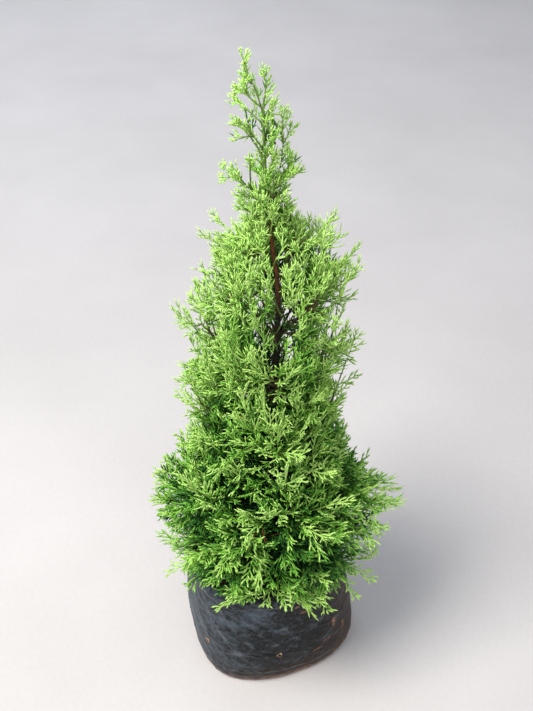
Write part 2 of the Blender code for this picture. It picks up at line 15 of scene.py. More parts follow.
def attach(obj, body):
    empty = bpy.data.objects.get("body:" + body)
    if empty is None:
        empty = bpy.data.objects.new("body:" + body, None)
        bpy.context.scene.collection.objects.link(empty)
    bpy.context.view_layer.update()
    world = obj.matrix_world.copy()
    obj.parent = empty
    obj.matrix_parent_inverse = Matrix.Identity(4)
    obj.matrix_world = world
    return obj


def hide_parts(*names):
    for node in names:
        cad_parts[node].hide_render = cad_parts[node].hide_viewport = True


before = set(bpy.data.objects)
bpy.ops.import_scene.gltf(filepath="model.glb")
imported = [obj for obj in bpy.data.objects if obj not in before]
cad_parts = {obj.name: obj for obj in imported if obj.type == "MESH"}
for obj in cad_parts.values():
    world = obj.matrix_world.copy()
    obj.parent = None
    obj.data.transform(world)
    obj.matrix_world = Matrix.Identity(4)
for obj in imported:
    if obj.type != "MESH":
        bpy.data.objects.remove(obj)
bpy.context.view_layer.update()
MM = 0.001

# %% [markdown]
# ## The camera
#
# The picture was taken from a standing person's height, looking well down on the plant. A camera's
# angle can be found by trial, or from something flat and regular in the picture. The regular joints
# of the paving gave the tilt and the lens, and the bag's width gave the distance.

# %% Camera
IMAGE_WIDTH, IMAGE_HEIGHT = 533, 711
FOCAL_PIXELS = 1000.0
SENSOR = 36.0  # width in millimetres
CAMERA_PLACE = (-0.0099377, -0.513989, 0.727)
CAMERA_TILT = math.radians(40.1)
CAMERA_ROLL = math.radians(2.2)
CAMERA_NEAREST = 10 * MM


def make_camera():
    """A level camera tipped down by the tilt, then rolled about its own line of sight."""
    data = bpy.data.cameras.new("portrait")
    data.sensor_width = SENSOR
    data.lens = FOCAL_PIXELS * SENSOR / max(IMAGE_WIDTH, IMAGE_HEIGHT)
    data.clip_start = CAMERA_NEAREST
    camera = bpy.data.objects.new("portrait", data)
    bpy.context.scene.collection.objects.link(camera)
    tipped = Euler((math.pi / 2 - CAMERA_TILT, 0.0, 0.0)).to_matrix()
    rolled = Euler((0.0, 0.0, CAMERA_ROLL)).to_matrix()
    camera.matrix_world = Matrix.Translation(CAMERA_PLACE) @ (tipped @ rolled).to_4x4()
    bpy.context.scene.camera = camera
    return camera


print("camera lens:", round(make_camera().data.lens, 2), "mm")

# %% [markdown]
# ## Light
#
# The plant stands outdoors in soft daylight that comes from above and a little from the left. One
# large panel overhead does most of that work, two weaker ones in front and behind fill the
# shadows, and a pale world stands for the open sky.

# %% Light
SUN_COLOR = (1.0, 0.985, 0.95)
SKY_COLOR = (0.80, 0.88, 1.0)
SKY_STRENGTH = 0.60
LIT_POINT = Vector((0.0, 0.0, 0.25))  # what every panel faces
# Name, place, width in metres, power in watts and colour of each panel.
PANELS = (("overhead", (-0.56, -0.36, 1.42), 0.60, 26.0, SUN_COLOR),
          ("front_fill", (0.7, -1.4, 0.9), 1.2, 4.5, SUN_COLOR),
          ("back_fill", (-0.5, 1.4, 0.9), 1.2, 6.0, SKY_COLOR))


def area_light(name, place, size, power, color):
    """A square panel at a place, turned so that its face looks at the lit point."""
    data = bpy.data.lights.new(name, "AREA")
    data.shape = "SQUARE"
    data.size = size
    data.energy = power
    data.color = color
    lamp = bpy.data.objects.new(name, data)
    lamp.location = place
    lamp.rotation_euler = (LIT_POINT - Vector(place)).to_track_quat("-Z", "Y").to_euler()
    bpy.context.scene.collection.objects.link(lamp)


def make_world():
    world = bpy.data.worlds.new("open_sky")
    world.use_nodes = True
    background = world.node_tree.nodes["Background"]
    background.inputs["Color"].default_value = (*SKY_COLOR, 1.0)
    background.inputs["Strength"].default_value = SKY_STRENGTH
    bpy.context.scene.world = world


for panel in PANELS:
    area_light(*panel)
make_world()
bpy.context.scene.view_settings.view_transform = "Standard"
print("light panels:", len(PANELS))

# %% [markdown]
# ## Putting arrays into a mesh
#
# A tree has tens of thousands of leaflets, so nothing here is placed one at a time. Every shape is
# an array of points and an array of faces, worked out as a whole, and one helper copies both into
# a mesh.

# %% Mesh helper
def linear(red, green, blue):
    """A screen's colour, 0 to 255, as the linear light of a shader, by the screens' standard."""
    shares = np.array((red, green, blue)) / 255.0
    low = shares / 12.92
    high = ((shares + 0.055) / 1.055) ** 2.4
    return (*np.where(shares <= 0.04045, low, high).tolist(), 1.0)


def put_mesh(name, points, faces, material):
    """A smooth-shaded mesh object from points (n, 3) and faces (m, 3) or (m, 4)."""
    points = np.ascontiguousarray(points, np.float32)
    faces = np.ascontiguousarray(faces, np.int32)
    corners = faces.shape[1]
    mesh = bpy.data.meshes.new(name)
    mesh.vertices.add(len(points))
    mesh.vertices.foreach_set("co", points.ravel())
    mesh.loops.add(faces.size)
    mesh.loops.foreach_set("vertex_index", faces.ravel())
    mesh.polygons.add(len(faces))
    mesh.polygons.foreach_set("loop_start", np.arange(0, faces.size, corners, dtype=np.int32))
    mesh.update(calc_edges=True)
    mesh.shade_smooth()
    mesh.materials.append(material)
    piece = bpy.data.objects.new(name, mesh)
    bpy.context.scene.collection.objects.link(piece)
    return piece


def add_mask(piece, name, values):
    """A named number at every point of a piece, for its material to read."""
    layer = piece.data.attributes.new(name, "FLOAT", "POINT")
    layer.data.foreach_set("value", np.ascontiguousarray(values, np.float32).ravel())


def dress(piece, slot, *nodes):
    """Ties a finished piece to the plant: it rides on it and stands for solids.
    The slot is not used.
    """
    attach(piece, "root")
    if nodes:
        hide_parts(*nodes)
    corners = len(piece.data.loops) // max(1, len(piece.data.polygons))
    triangles = len(piece.data.polygons) * (corners - 2)
    print(f"{piece.name}: {triangles} triangles")


# %% [markdown]
# ## Nodes from Python
#
# A finish in Blender is a graph of nodes. Written out in full, each node takes four or five lines
# of Python, so these helpers make a node in one: what it is, its inputs and what comes out. An
# input may be a number, a colour or another node's output.

# %% Node helpers
def new_material(name):
    """A material with one Principled shader, and its tree and shader to work on."""
    material = bpy.data.materials.new(name)
    material.use_nodes = True
    return material, material.node_tree, material.node_tree.nodes["Principled BSDF"]


def fill(tree, node, inputs):
    """Fills in a node's inputs, by name or number: a socket is linked and a value is set."""
    for key, value in dict(inputs).items():
        if isinstance(value, bpy.types.NodeSocket):
            tree.links.new(value, node.inputs[key])
        else:
            node.inputs[key].default_value = value


def add_node(tree, kind, inputs=(), **properties):
    """A node with its properties set, then its inputs filled in."""
    node = tree.nodes.new(kind)
    for key, value in properties.items():
        setattr(node, key, value)
    fill(tree, node, inputs)
    return node


def math_of(tree, operation, *inputs):
    """What an operation makes of its two or three numbers or sockets."""
    return add_node(tree, "ShaderNodeMath", enumerate(inputs), operation=operation).outputs[0]


def mix_value(tree, share, first, second):
    """Two numbers, or sockets, mixed by a share from 0 to 1."""
    return add_node(tree, "ShaderNodeMix", {0: share, 2: first, 3: second}).outputs[0]


def mix_color(tree, share, first, second):
    """Two colours, or colour sockets, mixed by a share from 0 to 1."""
    inputs = {0: share, 6: first, 7: second}
    return add_node(tree, "ShaderNodeMix", inputs, data_type="RGBA").outputs[2]


def map_range(tree, *inputs):
    """A socket's value stretched from low and high to another low and high, held at the ends."""
    return add_node(tree, "ShaderNodeMapRange", enumerate(inputs)).outputs[0]


def noise(tree, place, scale, detail, roughness):
    """A noise's value at a place. The scale is how many of its waves fit in a metre."""
    inputs = {"Vector": place, "Scale": scale, "Detail": detail, "Roughness": roughness}
    return add_node(tree, "ShaderNodeTexNoise", inputs).outputs[0]


def own_place(tree):
    """Each point's place in the piece's own coordinates."""
    return add_node(tree, "ShaderNodeTexCoord").outputs["Object"]


def stored(tree, name):
    """The number that add_mask stored at each point."""
    return add_node(tree, "ShaderNodeAttribute", attribute_name=name).outputs["Fac"]


print("helpers ready")

# %% [markdown]
# ## Two effects that every finish shares
#
# Real surfaces are never one even colour. Soil, bark, film and leaves all vary in soft patches and
# again in a fine grain, so both effects are built once, as node groups with named inputs. Painted
# textures could do the same, but these follow the object's own coordinates and need no image.

# %% Shared node groups
MOTTLE_NOISE = (3.0, 0.6)  # detail and roughness
RELIEF_NOISE = (4.0, 0.65)


def start_group(name, inputs, outputs):
    """An empty shader group, the sockets that it is given, and the node for what it finds."""
    group = bpy.data.node_groups.new(name, "ShaderNodeTree")
    for label, default in inputs.items():
        kind = "NodeSocketColor" if isinstance(default, tuple) else "NodeSocketFloat"
        group.interface.new_socket(label, in_out="INPUT", socket_type=kind).default_value = default
    for label, kind in outputs.items():
        group.interface.new_socket(label, in_out="OUTPUT", socket_type="NodeSocket" + kind)
    return group, group.nodes.new("NodeGroupInput").outputs, group.nodes.new("NodeGroupOutput")


def make_mottle():
    """Soft patches and fine grain: one noise of each size, mixed, between two colours."""
    group, given, found = start_group(
        "mottle",
        {"Dark": (0, 0, 0, 1), "Light": (1, 1, 1, 1), "Patch Size": 0.02, "Grain Size": 0.002,
         "Grain Share": 0.4, "Low": 0.35, "High": 0.65},
        {"Color": "Color", "Mask": "Float"},
    )
    place = own_place(group)
    soft, fine = (noise(group, place, math_of(group, "DIVIDE", 1.0, given[size]), *MOTTLE_NOISE)
                  for size in ("Patch Size", "Grain Size"))
    both = mix_value(group, given["Grain Share"], soft, fine)
    mask = map_range(group, both, given["Low"], given["High"], 0.0, 1.0)
    color = mix_color(group, mask, given["Dark"], given["Light"])
    fill(group, found, {"Color": color, "Mask": mask})
    return group


def make_grain_relief():
    """A normal roughened by a stretched noise: its size, its stretch along Z and its height."""
    group, given, found = start_group(
        "grain_relief", {"Size": 0.002, "Stretch": 1.0, "Height": 0.0002}, {"Normal": "Vector"})
    squeeze = math_of(group, "DIVIDE", 1.0, given["Stretch"])
    axes = add_node(group, "ShaderNodeCombineXYZ", {0: 1.0, 1: 1.0, 2: squeeze}).outputs[0]
    pulled = add_node(group, "ShaderNodeVectorMath", {0: own_place(group), 1: axes},
                      operation="MULTIPLY").outputs[0]
    grain = noise(group, pulled, math_of(group, "DIVIDE", 1.0, given["Size"]), *RELIEF_NOISE)
    inputs = {"Height": grain, "Distance": given["Height"], "Strength": 1.0}
    fill(group, found, {"Normal": add_node(group, "ShaderNodeBump", inputs).outputs[0]})
    return group


MOTTLE = make_mottle()
GRAIN_RELIEF = make_grain_relief()


# Every tone in this script is a darker and a lighter screen colour, the size of the patches and
# of the grain in metres, and the grain's share. A grain is its size, stretch and height.
def mottled(tree, dark, light, patch, grain, share, low=0.35, high=0.65):
    """The outputs of a mottle: its Color, and the Mask that mixes it."""
    inputs = {"Dark": linear(*dark), "Light": linear(*light), "Patch Size": patch,
              "Grain Size": grain, "Grain Share": share, "Low": low, "High": high}
    return add_node(tree, "ShaderNodeGroup", inputs, node_tree=MOTTLE).outputs


def grained(tree, size, stretch, height):
    """A surface's direction, roughened by a grain."""
    inputs = {"Size": size, "Stretch": stretch, "Height": height}
    return add_node(tree, "ShaderNodeGroup", inputs, node_tree=GRAIN_RELIEF).outputs["Normal"]


def plain_finish(name, tone, grain, roughness, shine=0.5):
    """A finish with one tone and one grain."""
    material, tree, shader = new_material(name)
    fill(tree, shader, {"Base Color": mottled(tree, *tone)["Color"],
                        "Normal": grained(tree, *grain),
                        "Roughness": roughness, "Specular IOR Level": shine})
    return material


print("shared groups:", MOTTLE.name, GRAIN_RELIEF.name)

# %% [markdown]
# ## The floor
#
# A plain pale sheet under the plant, large enough to fill the picture. It only catches the
# shadow.

# %% Floor
FLOOR_HALF = 3.0
FLOOR_TONE = ((196, 190, 187), (206, 200, 197), 0.25, 0.004, 0.3)
FLOOR_ROUGHNESS = 0.75


def make_floor():
    material, tree, shader = new_material("pale_floor")
    fill(tree, shader, {"Base Color": mottled(tree, *FLOOR_TONE)["Color"],
                        "Roughness": FLOOR_ROUGHNESS})
    corners = np.array([(-1, -1, 0), (1, -1, 0), (1, 1, 0), (-1, 1, 0)]) * FLOOR_HALF
    floor = put_mesh("pale_floor", corners, np.array([(0, 1, 2, 3)]), material)
    return floor


print("floor:", make_floor().dimensions[:2])

# %% [markdown]
# ## Surfaces on a grid
#
# The bag, the soil and the trunk are all grids that close round on themselves: columns go round
# the upright axis and rows go along the outline. One helper joins the columns, and closes the ends
# with a pole where the surface has one.

# %% Grid helper
def ring_faces(rows, columns):
    """Quads of a grid whose last column meets its first. Rows run up, columns run round."""
    row = np.arange(rows - 1)[:, None] * columns
    here = np.arange(columns)[None, :]
    there = (here + 1) % columns
    quads = np.stack([row + here, row + there, row + columns + there, row + columns + here], -1)
    return quads.reshape(-1, 4)


def closed_rings(rings):
    """Points and triangles of a stack of rings (rows, columns, 3), closed by a pole at each end."""
    rows, columns, _ = rings.shape
    quads = ring_faces(rows, columns)
    sides = np.concatenate([quads[:, [0, 1, 2]], quads[:, [0, 2, 3]]])
    poles = np.stack([rings[0].mean(0), rings[-1].mean(0)])
    here = np.arange(columns)
    there = (here + 1) % columns
    last = (rows - 1) * columns
    bottom = np.full(columns, rows * columns)
    top = bottom + 1
    ends = [np.stack([there, here, bottom], -1), np.stack([last + here, last + there, top], -1)]
    points = np.concatenate([rings.reshape(-1, 3), poles])
    return points, np.concatenate([sides, *ends])


def joined(batches):
    """Several (points, faces) pairs as one."""
    points, faces, start = [], [], 0
    for some_points, some_faces in batches:
        points.append(some_points)
        faces.append(some_faces + start)
        start += len(some_points)
    return np.concatenate(points), np.concatenate(faces)


def along(pairs, place):
    """A size in metres at a place in metres, read from a table in millimetres."""
    places, sizes = zip(*pairs)
    return np.interp(np.asarray(place) / MM, places, sizes) * MM


def bump_at(value, centre, width):
    """A smooth hump: 1 at its centre, fading over its width on both sides."""
    return np.exp(-(((value - centre) / width) ** 2))


def turn_between(azimuth, centre):
    """The angle from a centre to an azimuth, between minus and plus half a turn."""
    return (azimuth - centre + math.pi) % (2 * math.pi) - math.pi


def ridge(phase):
    """A fold's section: a sharp crest at every half turn of the phase, with a broad hollow."""
    return 1.0 - np.abs(np.sin(phase))


def waves(azimuth, height, rng, turns, rise, count):
    """Seamless noise round a bag: cosines with a whole number of turns and a random rise."""
    total = np.zeros(np.broadcast(azimuth, height).shape)
    for _ in range(count):
        times = int(rng.integers(turns[0], turns[1] + 1))
        slope = rng.uniform(-rise, rise)
        total = total + np.cos(times * azimuth + slope * height + rng.uniform(0, 2 * math.pi))
    return total / math.sqrt(count)


def with_waves(base, azimuth, table):
    """A height with waves on it: how many go round, their phase, and their height in metres."""
    for times, phase, height in table:
        base = base + height * np.cos(times * azimuth + phase)
    return base


print("a ring of 3 rows and 4 columns has", len(ring_faces(3, 4)), "faces")

# %% [markdown]
# ## The bag's shape
#
# It is a thin black film bag, filled, slumped, and folded down at the mouth. Cloth simulation could
# crumple it, but its weight is all soil, so the film only follows the soil with shallow folds. They
# are written as sums: a soft three-cornered oval, pleats where the folded base was, puckers under
# the mouth, long slanting creases that fan out from the upper left, and the lower edge of the
# turned-down hem.

# %% Bag: outline and folds
BAG_HALF = 70 * MM  # half its width
BAG_OVAL = 3.0 * MM
BAG_OVAL_FROM = 50 * MM  # nearer the middle than this, it gets round
BAG_CORNER = 4.0 * MM
BAG_CORNER_AT = math.radians(-122)
BAG_WALL = ((0, 62.0), (1.2, 63.6), (3, 64.8), (8, 65.9), (18, 66.5), (32, 66.6), (48, 66.0),
            (66, 65.0), (84, 64.0), (98, 63.0), (103, 61.9), (105, 60.4))
BAG_FLAT = 56 * MM  # radius of the flat underside
BAG_TOP = 105 * MM
BAG_COLUMNS = 384
BAG_FAN_AT = math.radians(-165)  # where the slanting creases start
BAG_LEAN = 4.5 * MM  # how far the top has slumped to the left
BAG_PINCH = 11.0 * MM  # how much nearer the right wall is at the top
BAG_PINCH_CURVE = 0.7
BAG_UNDERCUT = 5.5 * MM  # how much nearer the left wall is at the foot
BAG_UNDERCUT_TOP = 50 * MM
BAG_FOOT_AT = math.radians(-126)  # where the base's folded corner sticks out
HEM_HEIGHT = 93 * MM
HEM_THICKNESS = 1.1 * MM
HEM_STEP = 0.35 * MM  # how soft its edge is
HEM_SLANT = 5.5 * MM
HEM_HIGHEST_AT = math.radians(-175)
HEM_WAVES = ((5, 1.0, 1.2 * MM), (11, 0.0, 0.7 * MM))
FILM = 0.9 * MM
# Depth in millimetres of each kind of fold, and how far up or down from its place some fade.
SLUMP_DEPTH, PUCKER_DEPTH, FAN_DEPTH, CREASE_DEPTH, ARC_DEPTH = 0.55, 0.55, 0.80, 0.30, 0.60
PLEAT_DEPTH, BASE_FOLD_DEPTH, CORNER_DEPTH = 0.5, 0.45, 2.4
PUCKER_REACH, PLEAT_REACH, CORNER_REACH = 17 * MM, 6 * MM, 15 * MM
CORNER_SPREAD = 0.26  # in radians
ARCS_AT = (math.radians(-20), 98)  # azimuth, and height in millimetres, of the arcs' middle
ARCS_PER_RADIAN = 62  # millimetres round the bag there
# How pale the crest of each kind is painted: partly scuffs, partly painted highlight.
FAN_CREST, CREASE_CREST, ARC_CREST, BASE_CREST, HEM_CREST = 0.9, 0.50, 0.60, 0.8, 0.8


def bag_round(radius, azimuth):
    """A circle pulled into a soft oval with three corners, less so near the middle."""
    share = np.clip(radius / BAG_OVAL_FROM, 0.0, 1.0)
    corners = BAG_CORNER * np.cos(3 * (azimuth - BAG_CORNER_AT))
    return radius + share * (BAG_OVAL * np.cos(2 * azimuth) + corners)


def slumped(radius, azimuth, height):
    """Points of the bag or its soil: the top leans left and is pinched right, the foot left."""
    x = radius * np.cos(azimuth)
    share = np.clip(height / BAG_TOP, 0, 1)
    low = np.clip(1 - height / BAG_UNDERCUT_TOP, 0, 1)
    x = x + low * BAG_UNDERCUT * np.clip(-x / BAG_HALF, 0, 1)
    pinch = share**BAG_PINCH_CURVE * BAG_PINCH * np.clip(x / BAG_HALF, 0, 1)
    x = x - share * BAG_LEAN - pinch
    return np.stack([x, radius * np.sin(azimuth), height + 0 * x], -1)


def hem_line(azimuth):
    """Height of the hem's lower edge: it slants down from the left, with small waves."""
    slant = HEM_SLANT * np.cos(azimuth - HEM_HIGHEST_AT)
    return with_waves(HEM_HEIGHT + slant, azimuth, HEM_WAVES)


def bag_folds(azimuth, height):
    """How far the film stands out from its plain outline, in metres, and the creases' crests.

    Each kind of fold has its own pattern. In the phase of a ridge, the number before the azimuth
    is half the number of its crests round the bag, the height's is their slant, and the warp's
    is how far they wander.
    """
    rng = np.random.default_rng(7)
    warp = waves(azimuth, height, rng, (1, 4), 30, 5)
    slump = SLUMP_DEPTH * MM * waves(azimuth, height, rng, (2, 6), 45, 6)
    up = height / MM
    near_top = np.exp(-(BAG_TOP - height) / PUCKER_REACH)
    puckers = ridge(19 * azimuth + 1.5 * warp) + ridge(31 * azimuth - warp) - 0.7
    puckers = PUCKER_DEPTH * near_top * puckers
    from_fan = turn_between(azimuth, BAG_FAN_AT)
    slant = up * 0.055 + 5.2 * from_fan
    fan = ridge(slant * 2.1 + 1.1 * warp) ** 3 + 0.7 * ridge(slant * 4.7 - 1.7 * warp) ** 4
    fan_share = bump_at(from_fan, 0.5, 0.85) * bump_at(height, 62 * MM, 38 * MM)
    creases = ridge(2.0 * azimuth + up * 0.085 + 1.2 * warp) ** 6
    creases = creases + ridge(3.0 * azimuth - up * 0.11 + 1.6 * warp) ** 8
    from_arcs = np.hypot(turn_between(azimuth, ARCS_AT[0]) * ARCS_PER_RADIAN, up - ARCS_AT[1])
    arcs = ridge(from_arcs * 0.19 + 0.5 * warp) ** 4 * bump_at(from_arcs, 48, 30)
    pleats = PLEAT_DEPTH * np.exp(-height / PLEAT_REACH) * (ridge(23 * azimuth + 2 * warp) - 0.45)
    base_fold = bump_at(height, (13.5 + 1.8 * np.sin(3 * azimuth + 0.6)) * MM, 1.3 * MM)
    at_corner = bump_at(turn_between(azimuth, BAG_FOOT_AT), 0, CORNER_SPREAD)
    corner = CORNER_DEPTH * np.exp(-height / CORNER_REACH) * at_corner
    hem = 1.0 / (1.0 + np.exp(-(height - hem_line(azimuth)) / HEM_STEP))
    wall = puckers + FAN_DEPTH * fan_share * fan + CREASE_DEPTH * creases + ARC_DEPTH * arcs
    foot = pleats + BASE_FOLD_DEPTH * base_fold + corner
    out = slump + MM * wall + MM * foot + HEM_THICKNESS * hem
    crest = FAN_CREST * fan_share * fan + CREASE_CREST * creases + ARC_CREST * arcs
    crest = crest + BASE_CREST * base_fold
    edge = bump_at(height, hem_line(azimuth) + 0.3 * MM, 1.0 * MM)
    return out, np.clip(np.clip(crest, 0, 1) + HEM_CREST * edge, 0, 1)


print("bag height:", BAG_TOP / MM, "mm, columns:", BAG_COLUMNS)

# %% [markdown]
# ## The bag as one skin
#
# A real bag is a film with two sides. Here one closed skin goes under the bag, up its wall, over
# the mouth and down the inside, because a closed surface can't be seen through from behind. The
# dirt, and the painted sheen that shares its masks, is worked out for the same points, from two
# short tables of places.

# %% Bag: mesh
UNDER_SHARES = np.linspace(0.12, 1.0, 8)  # of the flat's radius
FLOOR_SHARES = np.linspace(0.9, 0.12, 4)  # likewise, inside the bag
OUTER_ROWS = 128
OUTER_CURVE = 1.12  # rows lie a little closer at the foot
INNER_ROWS = 12
ROLL_TURN = np.linspace(0.25, 1.0, 6)  # over the mouth, in half turns
WALL_GAP = 0.1 * MM  # between the wall's first row and the flat, and its last and the mouth
INSIDE_JOIN = 6  # the inside leaves the roll for the wall over one part in six of its rows
ROLL_WIDTH = 1.6 * MM
ROLL_HEIGHT = 0.9 * MM
MOUTH_WAVES = ((3, 2.0, 1.3), (8, 0.0, 0.6))  # the height is in millimetres here
MOUTH_DROP = 0.6
MOUTH_FADE = 6  # a high power, so that the waves stay near the mouth


def bag_rings():
    """The film as one closed skin: underside, outer wall, over the mouth, and down the inside."""
    azimuth = np.linspace(-math.pi, math.pi, BAG_COLUMNS, endpoint=False)[None, :]
    under = UNDER_SHARES[:, None] * BAG_FLAT
    wall = np.linspace(0.0, 1.0, OUTER_ROWS)[:, None] ** OUTER_CURVE
    wall = wall * (BAG_TOP - 2 * WALL_GAP) + WALL_GAP
    spread = bag_round(along(BAG_WALL, wall), azimuth)
    folds, crest = bag_folds(azimuth, wall)
    out = spread + folds
    mouth = with_waves(0.0, azimuth, MOUTH_WAVES) - MOUTH_DROP
    lift = wall + mouth * MM * np.clip(wall / BAG_TOP, 0, 1) ** MOUTH_FADE
    roll = ROLL_TURN[:, None] * math.pi
    roll_out = out[-1:] - ROLL_WIDTH * (1 - np.cos(roll))
    roll_up = lift[-1:] + ROLL_HEIGHT * np.sin(roll)
    down = np.linspace(0.0, 1.0, INNER_ROWS)[1:, None]
    inside_height = lift[-1:] + (FILM - lift[-1:]) * down
    inner = bag_round(along(BAG_WALL, inside_height), azimuth) - 2.0 * FILM
    inside = roll_out[-1:] + (inner - roll_out[-1:]) * np.clip(down * INSIDE_JOIN, 0, 1)
    floor = FLOOR_SHARES[:, None] * BAG_FLAT
    level = np.zeros_like(azimuth)
    radii = [bag_round(under, azimuth), out, roll_out, inside, bag_round(floor, azimuth)]
    heights = [0 * under + level, lift, roll_up, inside_height, FILM + 0 * floor + level]
    radius, height = np.concatenate(radii), np.concatenate(heights)
    crests = np.zeros(radius.shape)
    crests[len(under):len(under) + OUTER_ROWS] = crest
    return slumped(radius, azimuth, height), crests


# Azimuth in degrees, then height, width and depth in millimetres and strength, of each smear of
# mud and each pale patch, partly dust and partly painted sheen.
MUD_SMEARS = ((-68, 85, 3.0, 0.8, 1), (-61, 77, 3.6, 1.3, 1), (-33, 47, 2.0, 3.0, 1),
              (-40, 30, 4.5, 0.9, 0.8), (-48, 24, 6.0, 0.8, 0.8), (-22, 30, 2.0, 6.0, 0.6),
              (95, 30, 5.0, 2.0, 1), (150, 58, 3.0, 1.5, 1), (20, 12, 7.0, 2.0, 1))
DUST_AND_SHEEN_PATCHES = ((-97, 88, 13, 8, 1.0), (-112, 76, 18, 5, 0.6), (-84, 66, 22, 5, 0.2),
                (-104, 22, 22, 4, 0.3), (-62, 58, 16, 5, 0.2), (20, 70, 24, 9, 0.4),
                (80, 50, 30, 12, 0.3), (130, 80, 22, 7, 0.5))
MUD_SIDE, EDGE_SIDE, DUST_AND_SHEEN_SIDE = (math.radians(v) for v in (-60, -12, -165))
MUD_SPREAD, STAIN_SPREAD, EDGE_SPREAD, DUST_AND_SHEEN_SPREAD = 1.7, 1.3, 0.45, 0.9  # in radians
FOOT_MUD_HEIGHT, STAIN_HEIGHT = 4.5 * MM, 14 * MM
STAIN_ROUND, STAIN_IN_FRONT, STAIN_AT_EDGE = 0.35, 0.65, 0.60
BAG_PER_RADIAN = 65  # millimetres round the bag


def patches(azimuth, height, table):
    """The sum of a table's oval patches, each fading from its middle."""
    total = np.zeros(len(azimuth))
    for at, up, wide, tall, strength in table:
        across = turn_between(azimuth, math.radians(at)) * BAG_PER_RADIAN
        total += strength * np.exp(-(across / wide) ** 2 - ((height / MM - up) / tall) ** 2)
    return total


def bag_dirt_and_sheen(points):
    """Dried mud, on the foot's right and front and in smears, brown stain, and pale dust, which is
    also painted sheen on the left and in the patches in front.
    """
    azimuth = np.arctan2(points[:, 1], points[:, 0])
    height = points[:, 2]
    from_mud = turn_between(azimuth, MUD_SIDE)
    foot = np.exp(-height / FOOT_MUD_HEIGHT) * bump_at(from_mud, 0, MUD_SPREAD)
    mud = foot + patches(azimuth, height, MUD_SMEARS)
    edge = STAIN_AT_EDGE * bump_at(turn_between(azimuth, EDGE_SIDE), 0, EDGE_SPREAD)
    stain = STAIN_ROUND + STAIN_IN_FRONT * bump_at(from_mud, 0, STAIN_SPREAD)
    stain = np.exp(-height / STAIN_HEIGHT) * stain + edge
    dust_and_sheen = bump_at(turn_between(azimuth, DUST_AND_SHEEN_SIDE), 0, DUST_AND_SHEEN_SPREAD)
    dust_and_sheen = dust_and_sheen + patches(azimuth, height, DUST_AND_SHEEN_PATCHES)
    return [np.clip(mask, 0, 1) for mask in (mud, stain, dust_and_sheen)]


print("mud smears:", len(MUD_SMEARS), "patches of dust:", len(DUST_AND_SHEEN_PATCHES))

# %% [markdown]
# ## The bag's finish
#
# The film is black and slightly shiny, but it has been outdoors: a dusty bluish bloom clings to it
# in streaks. More of that pale bloom on the left and in patches in front is painted sheen, where
# light falls on the film from that side. The crests of the creases are pale, partly scuffed and
# partly painted highlight, and reddish mud has dried round the foot. The pale crests, the bloom
# and sheen and the mud have their places on this bag, so they are masks stored on its points. The
# grain is noise.

# %% Bag: material
STREAK_TURN = (math.radians(22), math.radians(30), 0.0)
STREAK_SIZE = (0.013, 0.013, 0.004)
STREAK_NOISE = (1.0, 5.0, 0.66)  # scale, detail and roughness
SPECK_NOISE = (230.0, 5.0, 0.78)
SPECK_SHARE = 0.58
DUST_AND_SHEEN_LIFT = 0.20  # how much more powder and painted sheen there is where dust and sheen are stored
BLOOM_TONE = ((3, 4, 5), (38, 41, 43), 0.014, 0.0012, 0.42, 0.44, 0.60)
CRUMB_TONE = ((92, 66, 50), (198, 146, 108), 0.006, 0.0012, 0.5)
# The powder colour also paints sheen, and the scuff colour also paints highlight on crests.
POWDER_AND_SHEEN_COLOR, SCUFF_AND_HIGHLIGHT_COLOR, STAIN_COLOR = (84, 94, 103), (116, 122, 126), (84, 64, 51)
FILM_GRAIN = (0.005, 1.0, 0.0008)
FILM_ROUGHNESS = (0.34, 0.55)  # where the bloom is dark, and where it is pale
FILM_SHINE = 0.16
# What lies over the bloom: where its mask starts and is full, how much it covers at most.
POWDER_AND_SHEEN_COAT, SCUFF_AND_HIGHLIGHT_COAT = (0.53, 0.75, 1.0), (0.10, 0.80, 0.70)
STAIN_COAT, MUD_COAT = (0.05, 0.60, 0.85), (0.08, 0.42, 0.90)


def film_material():
    """Black film, and on it in turn its bloom, powder and painted sheen, pale crests that are
    scuffs and painted highlight, stain and mud.
    """
    material, tree, shader = new_material("dusty_black_film")
    place = own_place(tree)
    slant = add_node(tree, "ShaderNodeMapping", {"Vector": place, "Rotation": STREAK_TURN,
                                                 "Scale": STREAK_SIZE}, vector_type="TEXTURE")
    streaks = noise(tree, slant.outputs[0], *STREAK_NOISE)
    powder = mix_value(tree, SPECK_SHARE, streaks, noise(tree, place, *SPECK_NOISE))
    powder_and_sheen = math_of(tree, "MULTIPLY_ADD", stored(tree, "dust_and_sheen"), DUST_AND_SHEEN_LIFT, powder)
    bloom = mottled(tree, *BLOOM_TONE)
    crumbs = mottled(tree, *CRUMB_TONE)
    crest = math_of(tree, "MULTIPLY", stored(tree, "crest"), bloom["Mask"])
    stain = math_of(tree, "MULTIPLY", stored(tree, "stain"), streaks)
    mud = math_of(tree, "MULTIPLY", stored(tree, "mud"), crumbs["Mask"])
    color = bloom["Color"]
    for mask, (start, full, most), over in (
        (powder_and_sheen, POWDER_AND_SHEEN_COAT, linear(*POWDER_AND_SHEEN_COLOR)), (crest, SCUFF_AND_HIGHLIGHT_COAT, linear(*SCUFF_AND_HIGHLIGHT_COLOR)),
        (stain, STAIN_COAT, linear(*STAIN_COLOR)), (mud, MUD_COAT, crumbs["Color"]),
    ):
        color = mix_color(tree, map_range(tree, mask, start, full, 0.0, most), color, over)
    fill(tree, shader, {"Base Color": color, "Normal": grained(tree, *FILM_GRAIN),
                        "Roughness": map_range(tree, bloom["Mask"], 0.0, 1.0, *FILM_ROUGHNESS),
                        "Specular IOR Level": FILM_SHINE})
    return material


